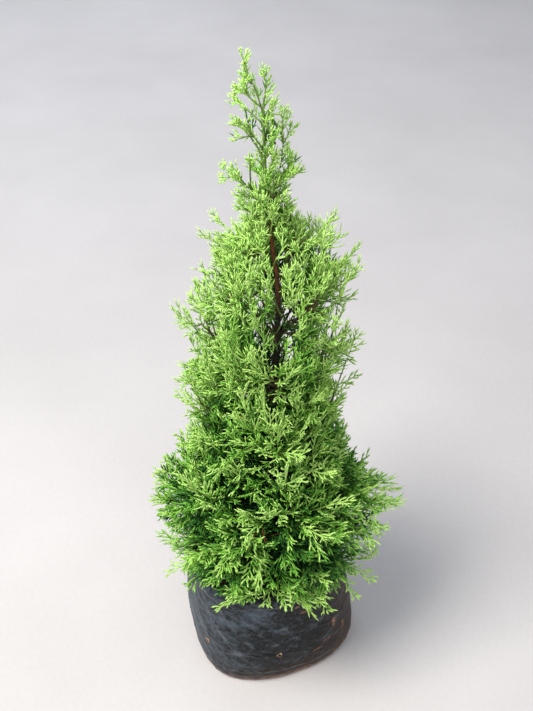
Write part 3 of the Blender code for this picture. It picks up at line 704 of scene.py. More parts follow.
def make_bag():
    rings, crests = bag_rings()
    points, faces = closed_rings(rings)
    bag = put_mesh("film_bag", points, faces, film_material())
    add_mask(bag, "crest", np.append(crests.ravel(), [0.0, 0.0]))
    for name, values in zip(("mud", "stain", "dust_and_sheen"), bag_dirt_and_sheen(points)):
        add_mask(bag, name, values)
    dress(bag, "film", "grow_bag")


make_bag()

# %% [markdown]
# ## Drain holes
#
# Water leaves the bag by small holes punched through the film. Each left a torn, raised lip with
# mud dried on it. A hole is too small to cut into the bag's grid, so each is a little crater set
# on the film: rings round its own axis, with a pit painted dark as the shade inside the hole, and
# a pale lip.

# %% Bag: drain holes
# Azimuth in degrees and height in millimetres of each hole. Those in front are as seen.
DRAIN_HOLES = ((-133, 38), (-79, 35), (-165, 30), (-29, 43), (20, 37), (62, 41), (108, 35),
               (152, 40))
# Radius and height of the lip's rings in millimetres, and how dark the pit is painted there, as
# the shade inside the hole.
HOLE_SECTION = ((0.4, -0.5, 1.0), (1.2, -0.45, 1.0), (1.35, 0.15, 0.7), (1.65, 0.5, 0),
                (2.0, 0.4, 0), (2.3, 0.05, 0), (2.4, -0.6, 0), (0.9, -0.9, 0))
HOLE_SIDES = 20
TORN = (0.16, 0.08)  # how uneven a lip is, in long waves and in short ones
LIP_TONE = ((52, 42, 37), (214, 170, 132), 0.0022, 0.0007, 0.5)
LIP_ROUGHNESS = 0.8
HOLE_SHADE_COLOR = (5, 4, 4)
ANY_PHASE = 6.3  # random phases are drawn up to this, about one turn


def hole_material():
    material, tree, shader = new_material("hole_lip")
    lip = mottled(tree, *LIP_TONE)
    color = mix_color(tree, stored(tree, "hole_shade"), lip["Color"], linear(*HOLE_SHADE_COLOR))
    fill(tree, shader, {"Base Color": color, "Roughness": LIP_ROUGHNESS})
    return material


def make_holes():
    """Craters on the film: rings of a section turned about the film's own normal."""
    batches, hole_shades = [], []
    turn = np.linspace(0, 2 * math.pi, HOLE_SIDES, endpoint=False)
    rng = np.random.default_rng(13)
    for at, up in DRAIN_HOLES:
        azimuth, height = np.array([math.radians(at)]), np.array([up * MM])
        radius = bag_round(along(BAG_WALL, height), azimuth) + bag_folds(azimuth, height)[0]
        centre = slumped(radius, azimuth, height)[0]
        out = np.array((math.cos(azimuth[0]), math.sin(azimuth[0]), 0.0))
        beside = np.array((-out[1], out[0], 0.0))
        flat = np.cos(turn)[:, None] * beside + np.sin(turn)[:, None] * np.array((0, 0, 1.0))
        torn = 1 + TORN[0] * np.sin(3 * turn + rng.uniform(0, ANY_PHASE))
        torn = torn + TORN[1] * np.sin(7 * turn)
        rings = [centre + MM * (wide * torn[:, None] * flat + tall * out)
                 for wide, tall, _ in HOLE_SECTION]
        batches.append(closed_rings(np.array(rings)[::-1]))
        dark = [share for _, _, share in HOLE_SECTION[::-1]]
        hole_shades.append(np.append(np.repeat(dark, HOLE_SIDES), [0.0, 1.0]))
    holes = put_mesh("drain_holes", *joined(batches), hole_material())
    add_mask(holes, "hole_shade", np.concatenate(hole_shades))
    dress(holes, "film", "grow_bag")


make_holes()

# %% [markdown]
# ## Joined tubes
#
# Trunk, twigs and leaflets are all the same thing at different sizes: a tube that tapers along a
# path. The helper below builds any number of them at once. Ring i of a tube stands square to its
# path at point i, with the radius given there, and the last point is the tip that the tube is
# drawn to.

# %% Tube helper
def unit(vectors):
    """Vectors scaled to a length of one."""
    return vectors / np.maximum(np.linalg.norm(vectors, axis=-1, keepdims=True), 1e-12)


def tubes(paths, radii, sides, reference):
    """Closed tapering tubes: ring = point + radius * (cos a * first + sin a * second).

    paths is (tubes, points, 3), radii is (tubes, points - 1), and reference (tubes, 3) is a
    direction that no tube runs along. The faces of one tube are shifted for each of the others.
    """
    count, stations, _ = paths.shape
    rings = stations - 1
    heading = unit(np.gradient(paths, axis=1))
    first = unit(np.cross(heading, reference[:, None, :]))
    second = np.cross(heading, first)
    angle = 2 * math.pi * np.arange(sides) / sides
    around = (np.cos(angle)[:, None] * first[:, :rings, None] +
              np.sin(angle)[:, None] * second[:, :rings, None])
    points = paths[:, :rings, None] + radii[:, :, None, None] * around
    points = np.concatenate([points.reshape(count, rings * sides, 3), paths[:, -1:]], axis=1)
    quads = ring_faces(rings, sides)
    last = (rings - 1) * sides + np.arange(sides)
    onward = (rings - 1) * sides + (np.arange(sides) + 1) % sides
    tip = np.stack([last, onward, np.full(sides, rings * sides)], -1)
    fan = np.arange(1, sides - 1)
    foot = np.stack([np.zeros(sides - 2, int), fan + 1, fan], -1)
    faces = np.concatenate([quads[:, [0, 1, 2]], quads[:, [0, 2, 3]], tip, foot])
    shift = np.arange(count)[:, None, None] * (rings * sides + 1)
    return points.reshape(-1, 3), (faces[None] + shift).reshape(-1, 3)


def across_of(paths):
    """For each path, the axis that it runs along least."""
    span = np.abs(paths[:, -1] - paths[:, 0])
    return np.eye(3)[np.argmin(span, axis=1)]


print("one leaflet of 2 rings and 3 sides has",
      len(tubes(np.zeros((1, 3, 3)) + np.arange(3)[None, :, None], np.ones((1, 2)), 3,
                np.eye(3)[:1])[1]), "triangles")

# %% [markdown]
# ## The soil
#
# Potting soil fills the bag to just under the fold: dark, crumbly, with bits of bark and grit. A
# noise texture alone would look like felt, so the top is a grid with real lumps, and loose crumbs
# lie on it, each a squashed eight-sided stone half sunk in the surface.

# %% Soil
SOIL_TOP = 92 * MM
SOIL_EDGE = 88 * MM
SOIL_RADIUS = 60.2 * MM
SOIL_LUMPS = ((14, 0.9, 6), (5, 0.5, 9), (2.2, 0.28, 12))  # length and height in mm, and waves
LUMPS_LEAST = 0.15  # how high the lumps are right at the stem
SOIL_COLUMNS = 200
SOIL_SHARES = np.linspace(1.0, 0.03, 64)  # of the radius, over the top
SOIL_SIDES = np.array([0.2, 0.5, 0.85])  # of the edge's height
SOIL_UNDER = np.array([0.3, 0.9]) * 56  # radii in millimetres
SOIL_BOTTOM = 1.8 * MM
# A finish is a tone, a grain and how rough it is.
SOIL_GRAIN = (0.0012, 1.0, 0.0009)
SOIL_FINISH = (((30, 22, 17), (74, 56, 43), 0.007, 0.0012, 0.55), SOIL_GRAIN, 0.93)
CRUMB_FINISH = (((40, 30, 23), (112, 88, 66), 0.007, 0.002, 0.55), SOIL_GRAIN, 0.93)
CRUMBS = 1500
CRUMB_REACH = 0.985  # of the soil's radius
CRUMB_NEAREST = 0.006  # of the soil's area, left free round the stem
CRUMB_SQUEEZE = 0.97  # keeps crumbs inside the wall
CRUMB_RISE = 0.1  # of its size, above the mound
CRUMB_LEVEL = (1, 1, 0.35)  # crumbs lie rather than stand
CRUMB_SIZES = (0.35, 1.15)  # half the length, in millimetres
CRUMB_STEPS = np.array([-1.0, -0.45, 0.5, 1.0])  # places along a crumb, and its radii there
CRUMB_RADII = np.array([0.45, 0.8, 0.7])


def soil_height(radius, azimuth):
    """A low mound with lumps of three sizes, level at the stem and lower at the wall."""
    rng = np.random.default_rng(11)
    share = np.clip(radius / SOIL_RADIUS, 0, 1)
    mound = SOIL_TOP - (SOIL_TOP - SOIL_EDGE) * share**2
    x, y = radius * np.cos(azimuth), radius * np.sin(azimuth)
    lumps = np.zeros(np.broadcast(x, y).shape)
    for size, height, count in SOIL_LUMPS:
        for _ in range(count):
            toward = rng.uniform(0, 2 * math.pi)
            phase = (x * math.cos(toward) + y * math.sin(toward)) / (size * MM) * 2 * math.pi
            phase = phase + rng.uniform(0, ANY_PHASE)
            lumps = lumps + height * MM / math.sqrt(count) * np.sin(phase)
    return mound + lumps * np.clip(share * 8, LUMPS_LEAST, 1)


def make_soil():
    azimuth = np.linspace(-math.pi, math.pi, SOIL_COLUMNS, endpoint=False)[None, :]
    top = SOIL_SHARES[:, None] * SOIL_RADIUS
    side = SOIL_SIDES[:, None] * SOIL_EDGE
    under = SOIL_UNDER[:, None] * MM
    radii = [bag_round(under, azimuth), bag_round(SOIL_RADIUS + 0 * side, azimuth),
             bag_round(top, azimuth)]
    level = np.zeros_like(azimuth)
    heights = [SOIL_BOTTOM + 0 * under + level, side + level, soil_height(top, azimuth)]
    rings = slumped(np.concatenate(radii), azimuth, np.concatenate(heights))
    material = plain_finish("potting_soil", *SOIL_FINISH)
    dress(put_mesh("potting_soil", *closed_rings(rings), material), "soil", "soil")


def make_crumbs():
    """Crumbs by a seeded rule: short fat tubes lying at random turns on the mound."""
    rng = np.random.default_rng(12)
    azimuth = rng.uniform(-math.pi, math.pi, CRUMBS)
    radius = SOIL_RADIUS * CRUMB_REACH * np.sqrt(rng.uniform(CRUMB_NEAREST, 1.0, CRUMBS))
    size = rng.uniform(*CRUMB_SIZES, CRUMBS) * MM
    height = soil_height(radius, azimuth) + CRUMB_RISE * size
    centre = slumped(bag_round(radius, azimuth) * CRUMB_SQUEEZE, azimuth, height)
    toward = unit(rng.normal(size=(CRUMBS, 3)) * CRUMB_LEVEL)
    paths = centre[:, None] + toward[:, None] * CRUMB_STEPS[:, None] * size[:, None, None]
    crumbs = tubes(paths, size[:, None] * CRUMB_RADII, 5, across_of(paths))
    material = plain_finish("soil_crumbs", *CRUMB_FINISH)
    dress(put_mesh("soil_crumbs", *crumbs, material), "soil", "soil")


make_soil()
make_crumbs()

# %% [markdown]
# ## The trunk
#
# The trunk leans a little and sways from front to back, with a small flare at the soil. Its old
# bark is almost black and flakes in upright strips, the younger bark above is a shiny red-brown,
# and the leader at the top is still green. The solids give its line, so the relief is laid round
# that same line: strips are ridges round the trunk that wander as they climb.

# %% Trunk: its line
TRUNK_TOP = 474 * MM
TRUNK_LEAN = ((92, 0.0), (98, 0.0), (170, -2.0), (250, -4.2), (300, -3.1), (345, -3.8),
              (390, -10.0), (415, -11.2), (432, -14.5), (455, -16.2), (474, -16.8), (520, -16.8))
TRUNK_RADII = ((92, 5.0), (98, 4.2), (110, 3.7), (200, 3.1), (260, 2.7), (300, 2.2), (335, 1.75),
               (361, 1.45), (390, 1.15), (420, 0.95), (474, 0.65))
TRUNK_SWAY = 1.5 * MM
TRUNK_SWAY_LENGTH = 300 * MM
BARK_ENDS = 421 * MM  # above this height the stem is green
BARK_DEPTH = 0.16  # of the radius, as is the next
COLLAR_DEPTH = 0.3
COLLAR_TALL = 2.2 * MM
COLLAR_WIDE = 0.6  # in radians
BARK_SMOOTH_AT = 345 * MM  # old bark gets shallower on the way up to here
BARK_SMOOTH_OVER = 150 * MM
# Height in millimetres and azimuth in degrees of the knobs left by shed shoots.
STEM_COLLARS = ((361, -20), (349, 195), (322, -150), (300, 20), (276, -70), (255, 150), (231, -60),
                (205, 60), (181, -120), (158, 10), (135, 170))


def trunk_at(height):
    """Centre of the trunk at a height: a table of its lean, and a sine for its sway."""
    sway = TRUNK_SWAY * np.sin(2 * math.pi * np.asarray(height) / TRUNK_SWAY_LENGTH)
    return along(TRUNK_LEAN, height), sway


def round_trunk(height, radius, turn):
    """Points at heights, radii and azimuths round the trunk's centre."""
    x, y = trunk_at(height)
    level = height + 0 * turn
    return np.stack([x + radius * np.cos(turn), y + radius * np.sin(turn), level], -1)


def stem_rings(low, high, rows, columns, relief):
    """Rings up the trunk, each round its centre, with the relief added to the radius."""
    height = np.linspace(low, high, rows)[:, None]
    angle = np.linspace(0, 2 * math.pi, columns, endpoint=False)[None, :]
    return round_trunk(height, along(TRUNK_RADII, height) + relief(height, angle), angle)


def bark_relief(height, angle):
    """Strips of flaking bark, shallower up the stem, and the collars of old side shoots."""
    up = height / MM
    radius = along(TRUNK_RADII, height)
    wander = 0.7 * np.sin(up * 0.11) + 0.5 * np.sin(up * 0.043 + 2)
    strips = ridge(3.0 * angle + wander) ** 2 + 0.6 * ridge(5.5 * angle - 1.7 * wander) ** 3
    flakes = np.sin(up * 0.9 + 3 * np.sin(2 * angle)) * np.sin(4 * angle + wander)
    old = np.clip((BARK_SMOOTH_AT - height) / BARK_SMOOTH_OVER, 0.25, 1.0)
    collars = np.zeros(np.broadcast(height, angle).shape)
    for place, at in STEM_COLLARS:
        near = bump_at(height, place * MM, COLLAR_TALL)
        turn = turn_between(angle, math.radians(at))
        collars = collars + near * bump_at(turn, 0, COLLAR_WIDE)
    bark = BARK_DEPTH * radius * old * (strips - 0.5 + 0.35 * flakes)
    return bark + COLLAR_DEPTH * radius * collars


print("trunk's centre at 300 mm:", [round(float(v) / MM, 1) for v in trunk_at(300 * MM)])

# %% [markdown]
# ## The trunk's bark
#
# The stem is two meshes on one line: bark up to where the picture shows the stem turn green, and
# the green leader above. They overlap by a few millimetres, so no gap shows. The bark's colour
# changes with height inside one material, with a ragged border, as it does on a real stem.

# %% Trunk: meshes
TRUNK_ROWS, TRUNK_COLUMNS = 360, 40
LEADER_ROWS, LEADER_COLUMNS = 60, 16
LEADER_RIPPLE = 0.08 * MM
BARK_GRAIN = (0.0011, 4.0)  # size and stretch: the height differs
TRUNK_GRAIN = (*BARK_GRAIN, 0.0004)
TRUNK_ROUGHNESS = 0.62
OLD_TONE = ((18, 12, 10), (58, 42, 35), 0.008, 0.0013, 0.5)
YOUNG_TONE = ((84, 34, 20), (166, 94, 60), 0.010, 0.0013, 0.45)
YOUNG_FROM, YOUNG_BY = 0.345, 0.385  # the heights between which the bark changes, plus the rag
BARK_RAG = 0.03
GREEN_WOOD = (((70, 96, 38), (128, 156, 72), 0.006, 0.0013, 0.45), (*BARK_GRAIN, 0.0001), 0.55)


def trunk_material():
    """Old dark bark below and young red bark above, with a ragged change between them."""
    material, tree, shader = new_material("trunk_bark")
    old = mottled(tree, *OLD_TONE)
    young = mottled(tree, *YOUNG_TONE)
    height = add_node(tree, "ShaderNodeSeparateXYZ", {0: own_place(tree)}).outputs[2]
    ragged = math_of(tree, "MULTIPLY_ADD", old["Mask"], BARK_RAG, height)
    share = map_range(tree, ragged, YOUNG_FROM, YOUNG_BY, 0.0, 1.0)
    fill(tree, shader, {"Base Color": mix_color(tree, share, old["Color"], young["Color"]),
                        "Normal": grained(tree, *TRUNK_GRAIN),
                        "Roughness": TRUNK_ROUGHNESS})
    return material


def make_trunk():
    rings = stem_rings(SOIL_TOP - 2 * MM, BARK_ENDS, TRUNK_ROWS, TRUNK_COLUMNS, bark_relief)
    dress(put_mesh("trunk_bark", *closed_rings(rings), trunk_material()), "bark", "trunk")


def leader_relief(height, angle):
    """Shallow ripples that wind up the green stem."""
    return LEADER_RIPPLE * np.sin(3 * angle + height / MM)


def make_leader(material):
    rings = stem_rings(BARK_ENDS - 3 * MM, TRUNK_TOP + 6 * MM, LEADER_ROWS, LEADER_COLUMNS,
                       leader_relief)
    dress(put_mesh("leader_stem", *closed_rings(rings), material), "bark", "trunk")


green_wood = plain_finish("green_wood", *GREEN_WOOD)
make_trunk()
make_leader(green_wood)

# %% [markdown]
# ## How far the crown reaches
#
# The crown's outline is read from the picture as two edges, left and right, in real millimetres
# from the trunk. A plain cone would lose its shoulders, its waist and the long low bough on the
# right. In between the two edges the reach blends round, so that from any side the tree keeps a
# believable outline.

# %% Crown: its reach
# Height on the tree, reach to the left and reach to the right, in millimetres.
CROWN_EDGES = (
    (70, 62, 58), (85, 67, 64), (95, 72, 67), (105, 77, 71), (116, 84, 75), (127, 89, 79),
    (150, 92, 84), (162, 91, 83), (173, 89, 77), (183, 86, 70), (194, 79, 61), (205, 69, 55),
    (216, 64, 56), (235, 63, 50), (265, 64, 50), (292, 62, 48), (309, 66, 50), (333, 66, 54),
    (345, 59, 56), (366, 50, 54), (378, 40, 49), (386, 31, 42), (394, 24, 33), (402, 18, 21),
    (407, 17, 16), (414, 15, 14), (424, 14, 12), (440, 12, 11), (460, 10, 9), (490, 8, 7),
)
DEPTH_SHARE = 0.93  # how far front and back reach, against the mean of left and right
# The long low bough on the right: extra reach, height and its spread in millimetres, azimuth
# and its spread in degrees.
LONG_BOUGH = (19, 157, 19, -4, 25)
# Azimuth in degrees and the lowest height of the skirt there, in millimetres. It is parted in
# front, where the mouth of the bag shows, and hangs lowest on both sides of the parting.
SKIRT_FLOORS = (
    (-180, 113), (-150, 109), (-137, 103), (-126, 95), (-116, 91), (-106, 104), (-98, 124),
    (-90, 138), (-82, 130), (-74, 104), (-64, 93), (-50, 83), (-40, 86), (-30, 101), (-15, 110),
    (0, 113), (40, 100), (75, 94), (110, 104), (145, 96), (180, 113),
)
SKIRT_INSIDE = 58 * MM  # nearer to the trunk than this, only the bag's mouth is in the way


def reach_at(height, azimuth):
    """Left and right reach blended by the square of the cosine, the depth by the sine's square."""
    heights, lefts, rights = np.array(CROWN_EDGES).T * MM
    left = np.interp(height, heights, lefts)
    right = np.interp(height, heights, rights)
    across = np.cos(azimuth)
    depth = DEPTH_SHARE * (left + right) / 2 * np.sin(azimuth) ** 2
    extra, up, tall, at, wide = LONG_BOUGH
    lobe = bump_at(height, up * MM, tall * MM)
    lobe = lobe * bump_at(turn_between(azimuth, math.radians(at)), 0, math.radians(wide))
    sides = right * np.maximum(across, 0) ** 2 + left * np.maximum(-across, 0) ** 2
    return depth + sides + extra * MM * lobe


def skirt_floor_at(azimuth):
    """Lowest height of the foliage outside the bag at an azimuth."""
    turns, floors = zip(*SKIRT_FLOORS)
    return np.interp(np.degrees(azimuth), turns, floors) * MM


def from_trunk(points):
    """Distance from the trunk's centre, and azimuth round it, of each point."""
    x, y = trunk_at(points[..., 2])
    dx, dy = points[..., 0] - x, points[..., 1] - y
    return np.hypot(dx, dy), np.arctan2(dy, dx)


def seen_place(points):
    """Where the camera sees each point against the upright plane through the trunk."""
    eye = np.array(CAMERA_PLACE)
    share = -eye[1] / (points[..., 1] - eye[1])
    return eye[0] + (points[..., 0] - eye[0]) * share, eye[2] + (points[..., 2] - eye[2]) * share


def at_depth(x, z, y):
    """The point at a depth that the camera sees at x, z of the upright plane."""
    eye = np.array(CAMERA_PLACE)
    share = (y - eye[1]) / -eye[1]
    return np.stack([eye[0] + (x - eye[0]) * share, y, eye[2] + (z - eye[2]) * share], -1)


print("reach at 162 mm, left and right:",
      [round(float(reach_at(0.162, a)) / MM) for a in (math.pi, 0.0)])

# %% [markdown]
# ## Boughs and limbs
#
# Boughs leave the trunk in tiers and climb more steeply the higher they start. Tiers are parted
# by rising cones, and each mass has a sector of its tier, as the solids do. A limb is the bough
# and the stem that carries on from it through the mass: it starts on the trunk halfway between
# the two cones, and keeps halfway as it goes out.

# %% Limbs
# Height on the trunk in millimetres and rise per unit of radius of the cones between tiers.
CONES = ((98, -0.30), (137, 0.28), (180, 0.72), (234, 1.05), (286, 1.30), (336, 1.48),
         (382, 1.60), (426, 1.70), (457, 1.80))
# Tier: name, masses, azimuth of the first in degrees, whether it has boughs, twigs in a mass,
# sprays' length and leaflets' thickness in millimetres, how upright the sprays turn.
TIERS = (
    ("skirt", 6, -90, False, 18, 28, 1.26, -0.35),
    ("low", 5, 0, False, 24, 28, 1.24, 0.10),
    ("middle", 4, -85, True, 25, 25, 1.14, 0.50),
    ("waist", 4, 180, True, 20, 22, 1.04, 0.90),
    ("upper", 4, 225, True, 18, 20, 0.98, 1.10),
    ("shoulder", 3, -15, True, 14, 18, 0.96, 1.20),
    ("spire", 3, 45, False, 8, 12, 0.96, 1.20),
    ("point", 2, 165, False, 3, 9, 0.98, 1.20),
)
TOP_TIER = len(TIERS) - 1
_, MASSES, FIRST_TURNS, HAS_BOUGHS, TWIGS_EACH, SPRAY_LENGTHS, LEAFLET_SIZES, UPRIGHTS = (
    np.array(column) for column in zip(*TIERS))
LIMB_POINTS = 14
LIMB_SHARE = 0.80  # how much of the reach a limb covers
LIMB_START = 0.8 * MM  # how far from the trunk's centre it starts
LIMB_DRIFT = 0.10  # how far it wanders sideways, in radians
LIMB_BENDS = 4  # radians of the drift's wave from its start to its end
RADII_TRIED = np.linspace(4, 104, 101) * MM


def cone_middle(tier, radius):
    """Height halfway between a tier's two cones, at a radius."""
    low, high = CONES[tier], CONES[tier + 1]
    return (low[0] + high[0]) / 2 * MM + (low[1] + high[1]) / 2 * radius


def make_limbs():
    """Every limb's path, its tier, its azimuth and half the width of its sector."""
    rng = np.random.default_rng(21)
    tier = np.repeat(np.arange(len(TIERS)), MASSES)
    number = np.concatenate([np.arange(masses) for masses in MASSES])
    half = (math.pi / MASSES)[tier]
    azimuth = np.radians(FIRST_TURNS)[tier] + 2 * half * number
    inside = np.stack([RADII_TRIED < LIMB_SHARE * reach_at(cone_middle(t, RADII_TRIED), a)
                       for t, a in zip(tier, azimuth)])
    end = RADII_TRIED[np.minimum.accumulate(inside, axis=1).sum(1) - 1]
    share = np.linspace(0, 1, LIMB_POINTS)
    radius = share[None, :] * end[:, None] + LIMB_START * (1 - share)
    height = np.stack([cone_middle(t, r) for t, r in zip(tier, radius)])
    drift = rng.uniform(-LIMB_DRIFT, LIMB_DRIFT, len(tier))[:, None]
    turn = azimuth[:, None] + drift * np.sin(share * LIMB_BENDS + tier[:, None])
    return round_trunk(height, radius, turn), tier, azimuth, half


LIMBS, LIMB_TIER, LIMB_AZIMUTH, LIMB_HALF = make_limbs()
print("limbs:", len(LIMBS), "reaching", round(float(from_trunk(LIMBS[:, -1])[0].max()) / MM), "mm")

# %% [markdown]
# ## Places for the twigs
#
# Each twig heads for a place of its own in its mass. Random places would clump, so azimuth and
# height step by two fractions that never repeat, and the radius goes through a few shares of the
# crown's reach. Neighbouring masses overlap a little here, so no seam shows between them. A few
# more places are sprigs that stand out of the crown in the picture.

# %% Twigs: places
SPREAD_STEPS = (0.7549, 0.5698)
REACH_SHARES = (0.84, 0.62, 0.76, 0.84, 0.70, 0.50)
SECTOR_OVERLAP = 1.16
CELL_BOTTOM, CELL_SPAN = -0.06, 1.12  # the heights used, against a cell's own
CELL_RADIUS = 30 * MM  # where the search for a place's radius starts
CELL_ROUNDS = 5
STEPS_PER_LIMB = 7  # so that no two masses start at the same step
# Where each sprig's tip is seen, sideways and upward against the trunk's plane, and how far back
# it is (in front is negative), in millimetres. First those on the crown's edge, then those in
# front that catch the light.
SPRIGS = (
    (-55, 388, -6), (-59, 368, 8), (-61, 338, -4), (-69, 316, 8), (-69, 300, -8), (-66, 280, 4),
    (-70, 268, -6), (-70, 254, 8), (-45, 404, 6), (9, 401, 12), (23, 405, -8), (31, 405, 10),
    (46, 382, 4), (46, 362, -6), (45, 346, 8), (49, 318, -8), (46, 303, 8), (43, 284, 10),
    (93, 163, 0), (93, 147, -10), (86, 168, 8), (74, 174, 4), (80, 128, -16), (-89, 160, 4),
    (-93, 146, -4), (-86, 181, -8), (-85, 104, -12), (78, 62, -34), (66, 40, -48), (-77, 64, -28),
    (49, 371, -4), (81, 100, -22), (74, 80, -32), (-77, 84, -18), (-74, 326, 12), (36, 390, 6),
    (-34, 397, 2), (-46, 388, -6), (25, 398, 4), (-62, 374, 4),
)
FRONT_SPRIGS = (
    (-35, 116, -70), (-20, 108, -74), (-26, 128, -69), (51, 98, -59), (43, 106, -65), (36, 96, -69),
    (41, 5, -75), (28, 10, -77), (-41, 8, -73), (-14, 24, -76), (-28, 24, -76), (26, 196, -52),
    (15, 204, -55), (22, 212, -48), (52, 6, -68), (50, 22, -68), (-66, 38, -46), (-46, 181, -54),
    (17, 20, -78), (34, 14, -76), (46, 14, -71), (24, 30, -78), (-36, 26, -74),
    (-53, 136, -61), (-68, 169, -42), (-28, 213, -52), (41, 175, -54), (58, 153, -52),
    (62, 107, -52), (8, 184, -65), (-4, 130, -74), (-40, 60, -72), (12, 60, -76), (48, 50, -69),
    (-16, 250, -46), (16, 262, -44), (-34, 268, -38), (30, 300, -32), (-30, 330, -30),
)


def cell_places(tier, azimuth, half, across, upward, outward):
    """Places in a cell by their shares of its width, its height and the crown's reach."""
    low, high = CONES[tier], CONES[tier + 1]
    turn = azimuth + (across - 0.5) * 2 * half * SECTOR_OVERLAP
    radius = np.full(len(across), CELL_RADIUS)
    for _ in range(CELL_ROUNDS):
        floor = low[0] * MM + low[1] * radius
        ceiling = high[0] * MM + high[1] * radius
        height = floor + upward * (ceiling - floor)
        radius = outward * reach_at(height, turn)
    return round_trunk(height, radius, turn)


def twig_places():
    """The places of every mass in turn, with the limb that each belongs to."""
    places, owner = [], []
    for limb, tier in enumerate(LIMB_TIER):
        count = TWIGS_EACH[tier]
        step = np.arange(count) + 1 + STEPS_PER_LIMB * limb
        across = (0.5 + step * SPREAD_STEPS[0]) % 1.0
        upward = CELL_BOTTOM + CELL_SPAN * ((0.5 + step * SPREAD_STEPS[1]) % 1.0)
        outward = np.array(REACH_SHARES)[step % len(REACH_SHARES)]
        places.append(cell_places(tier, LIMB_AZIMUTH[limb], LIMB_HALF[limb],
                                  across, upward, outward))
        owner.append(np.full(count, limb))
    return np.concatenate(places), np.concatenate(owner)


print("places for twigs:", len(twig_places()[0]), "and sprigs:", len(SPRIGS + FRONT_SPRIGS))

# %% [markdown]
# ## Twigs
#
# A twig leaves its limb at about forty degrees, which is the angle of this tree's shoots, so each
# place picks the point of its limb from which it is seen at that angle. The twig then bends up
# towards the light, except in the skirt, where it arches over the mouth of the bag.

# %% Twigs: paths
TWIG_ANGLE = math.radians(42)
TWIG_POINTS = 7
ROOTS_TRIED = np.linspace(0.06, 0.97, 28)  # shares of a limb
HEADING_STEP = 0.03  # the same, on both sides of a root
REACH_PER_RADIAN = 0.25  # metres of twig that count as much as a radian off its angle
SHORTEST_TWIG = 0.3  # against the way from its root to its place
INSIDE, EDGE, FRONT, SHOOT = range(4)  # kinds of twig
TWIG_LIFTS = (0.12, -0.10, -0.10, -0.15, -0.18, -0.18, -0.14, -0.10)  # by tier, of their length
END_SPRAY = 0.85  # the spray that ends a sprig, against its tier's length
SPRIG_SIDES = 0.56  # how much shorter the sprays along a sprig are


def along_paths(paths, share):
    """Points of paths (n, k, 3) at shares (n, m) of their length from the first point."""
    place = np.clip(share, 0, 1) * (paths.shape[1] - 1)
    base = np.minimum(place.astype(int), paths.shape[1] - 2)
    part = (place - base)[..., None]
    rows = np.arange(len(paths))[:, None]
    return paths[rows, base] * (1 - part) + paths[rows, base + 1] * part


def best_roots(places, limbs):
    """On each place's limb, the point seen from it nearest to the twig angle, and the miss."""
    share = np.broadcast_to(ROOTS_TRIED, (len(limbs), len(ROOTS_TRIED)))
    roots = along_paths(limbs, share)
    onward = along_paths(limbs, share + HEADING_STEP)
    heading = unit(onward - along_paths(limbs, share - HEADING_STEP))
    away = places[:, None] - roots
    angle = np.arccos(np.clip((heading * unit(away)).sum(-1), -1, 1))
    miss = np.abs(angle - TWIG_ANGLE) + np.linalg.norm(away, axis=-1) / REACH_PER_RADIAN
    best = miss.argmin(1)
    rows = np.arange(len(limbs))
    return roots[rows, best], miss[rows, best]


def sprig_places():
    """The sprigs' tips, each with the limb from which it is seen best."""
    x, z, y = np.array(SPRIGS + FRONT_SPRIGS).T * MM
    tips = at_depth(x, z, y)
    misses = [best_roots(np.broadcast_to(tip, (len(LIMBS), 3)), LIMBS)[1] for tip in tips]
    return tips, np.array(misses).argmin(1)


def bent_paths(starts, ends, lift, points):
    """Curves from start to end: the middle is lifted by a share of the length."""
    share = np.linspace(0, 1, points)[None, :, None]
    length = np.linalg.norm(ends - starts, axis=1)[:, None, None]
    bow = 4 * share * (1 - share) * length * np.asarray(lift)[:, None, None]
    return starts[:, None] * (1 - share) + ends[:, None] * share + bow * np.array((0, 0, 1.0))


def make_twigs():
    """Paths of all the twigs, with each one's tier and its kind."""
    places, owner = twig_places()
    tips, sprig_owner = sprig_places()
    kind = np.repeat((INSIDE, EDGE, FRONT), (len(places), len(SPRIGS), len(FRONT_SPRIGS)))
    places = np.concatenate([places, tips])
    owner = np.concatenate([owner, sprig_owner])
    tier = LIMB_TIER[owner]
    roots, _ = best_roots(places, LIMBS[owner])
    last_spray = END_SPRAY * SPRAY_LENGTHS[tier] * MM * (kind != INSIDE)
    away = places - roots
    length = np.linalg.norm(away, axis=1)
    places = roots + away * np.maximum(1 - last_spray / length, SHORTEST_TWIG)[:, None]
    lift = np.array(TWIG_LIFTS)[tier] * (kind == INSIDE)
    return bent_paths(roots, places, lift, TWIG_POINTS), tier, kind


TWIGS, TWIG_TIER, TWIG_KIND = make_twigs()
twig_lengths = np.linalg.norm(TWIGS[:, -1] - TWIGS[:, 0], axis=1)
print("twigs:", len(TWIGS), "mean length", round(float(twig_lengths.mean()) / MM, 1), "mm")

# %% [markdown]
# ## The leader's shoots
#
# The top stands alone against the background, so every shoot there can be told apart. Each is
# written down as the places that it passes, as seen against the trunk's plane, and the depth of
# its tip. The tree ends in two tips: a full one over the trunk and a taller, thinner one beside
# it. Short shoots to the front and back fill in what the picture can't show.

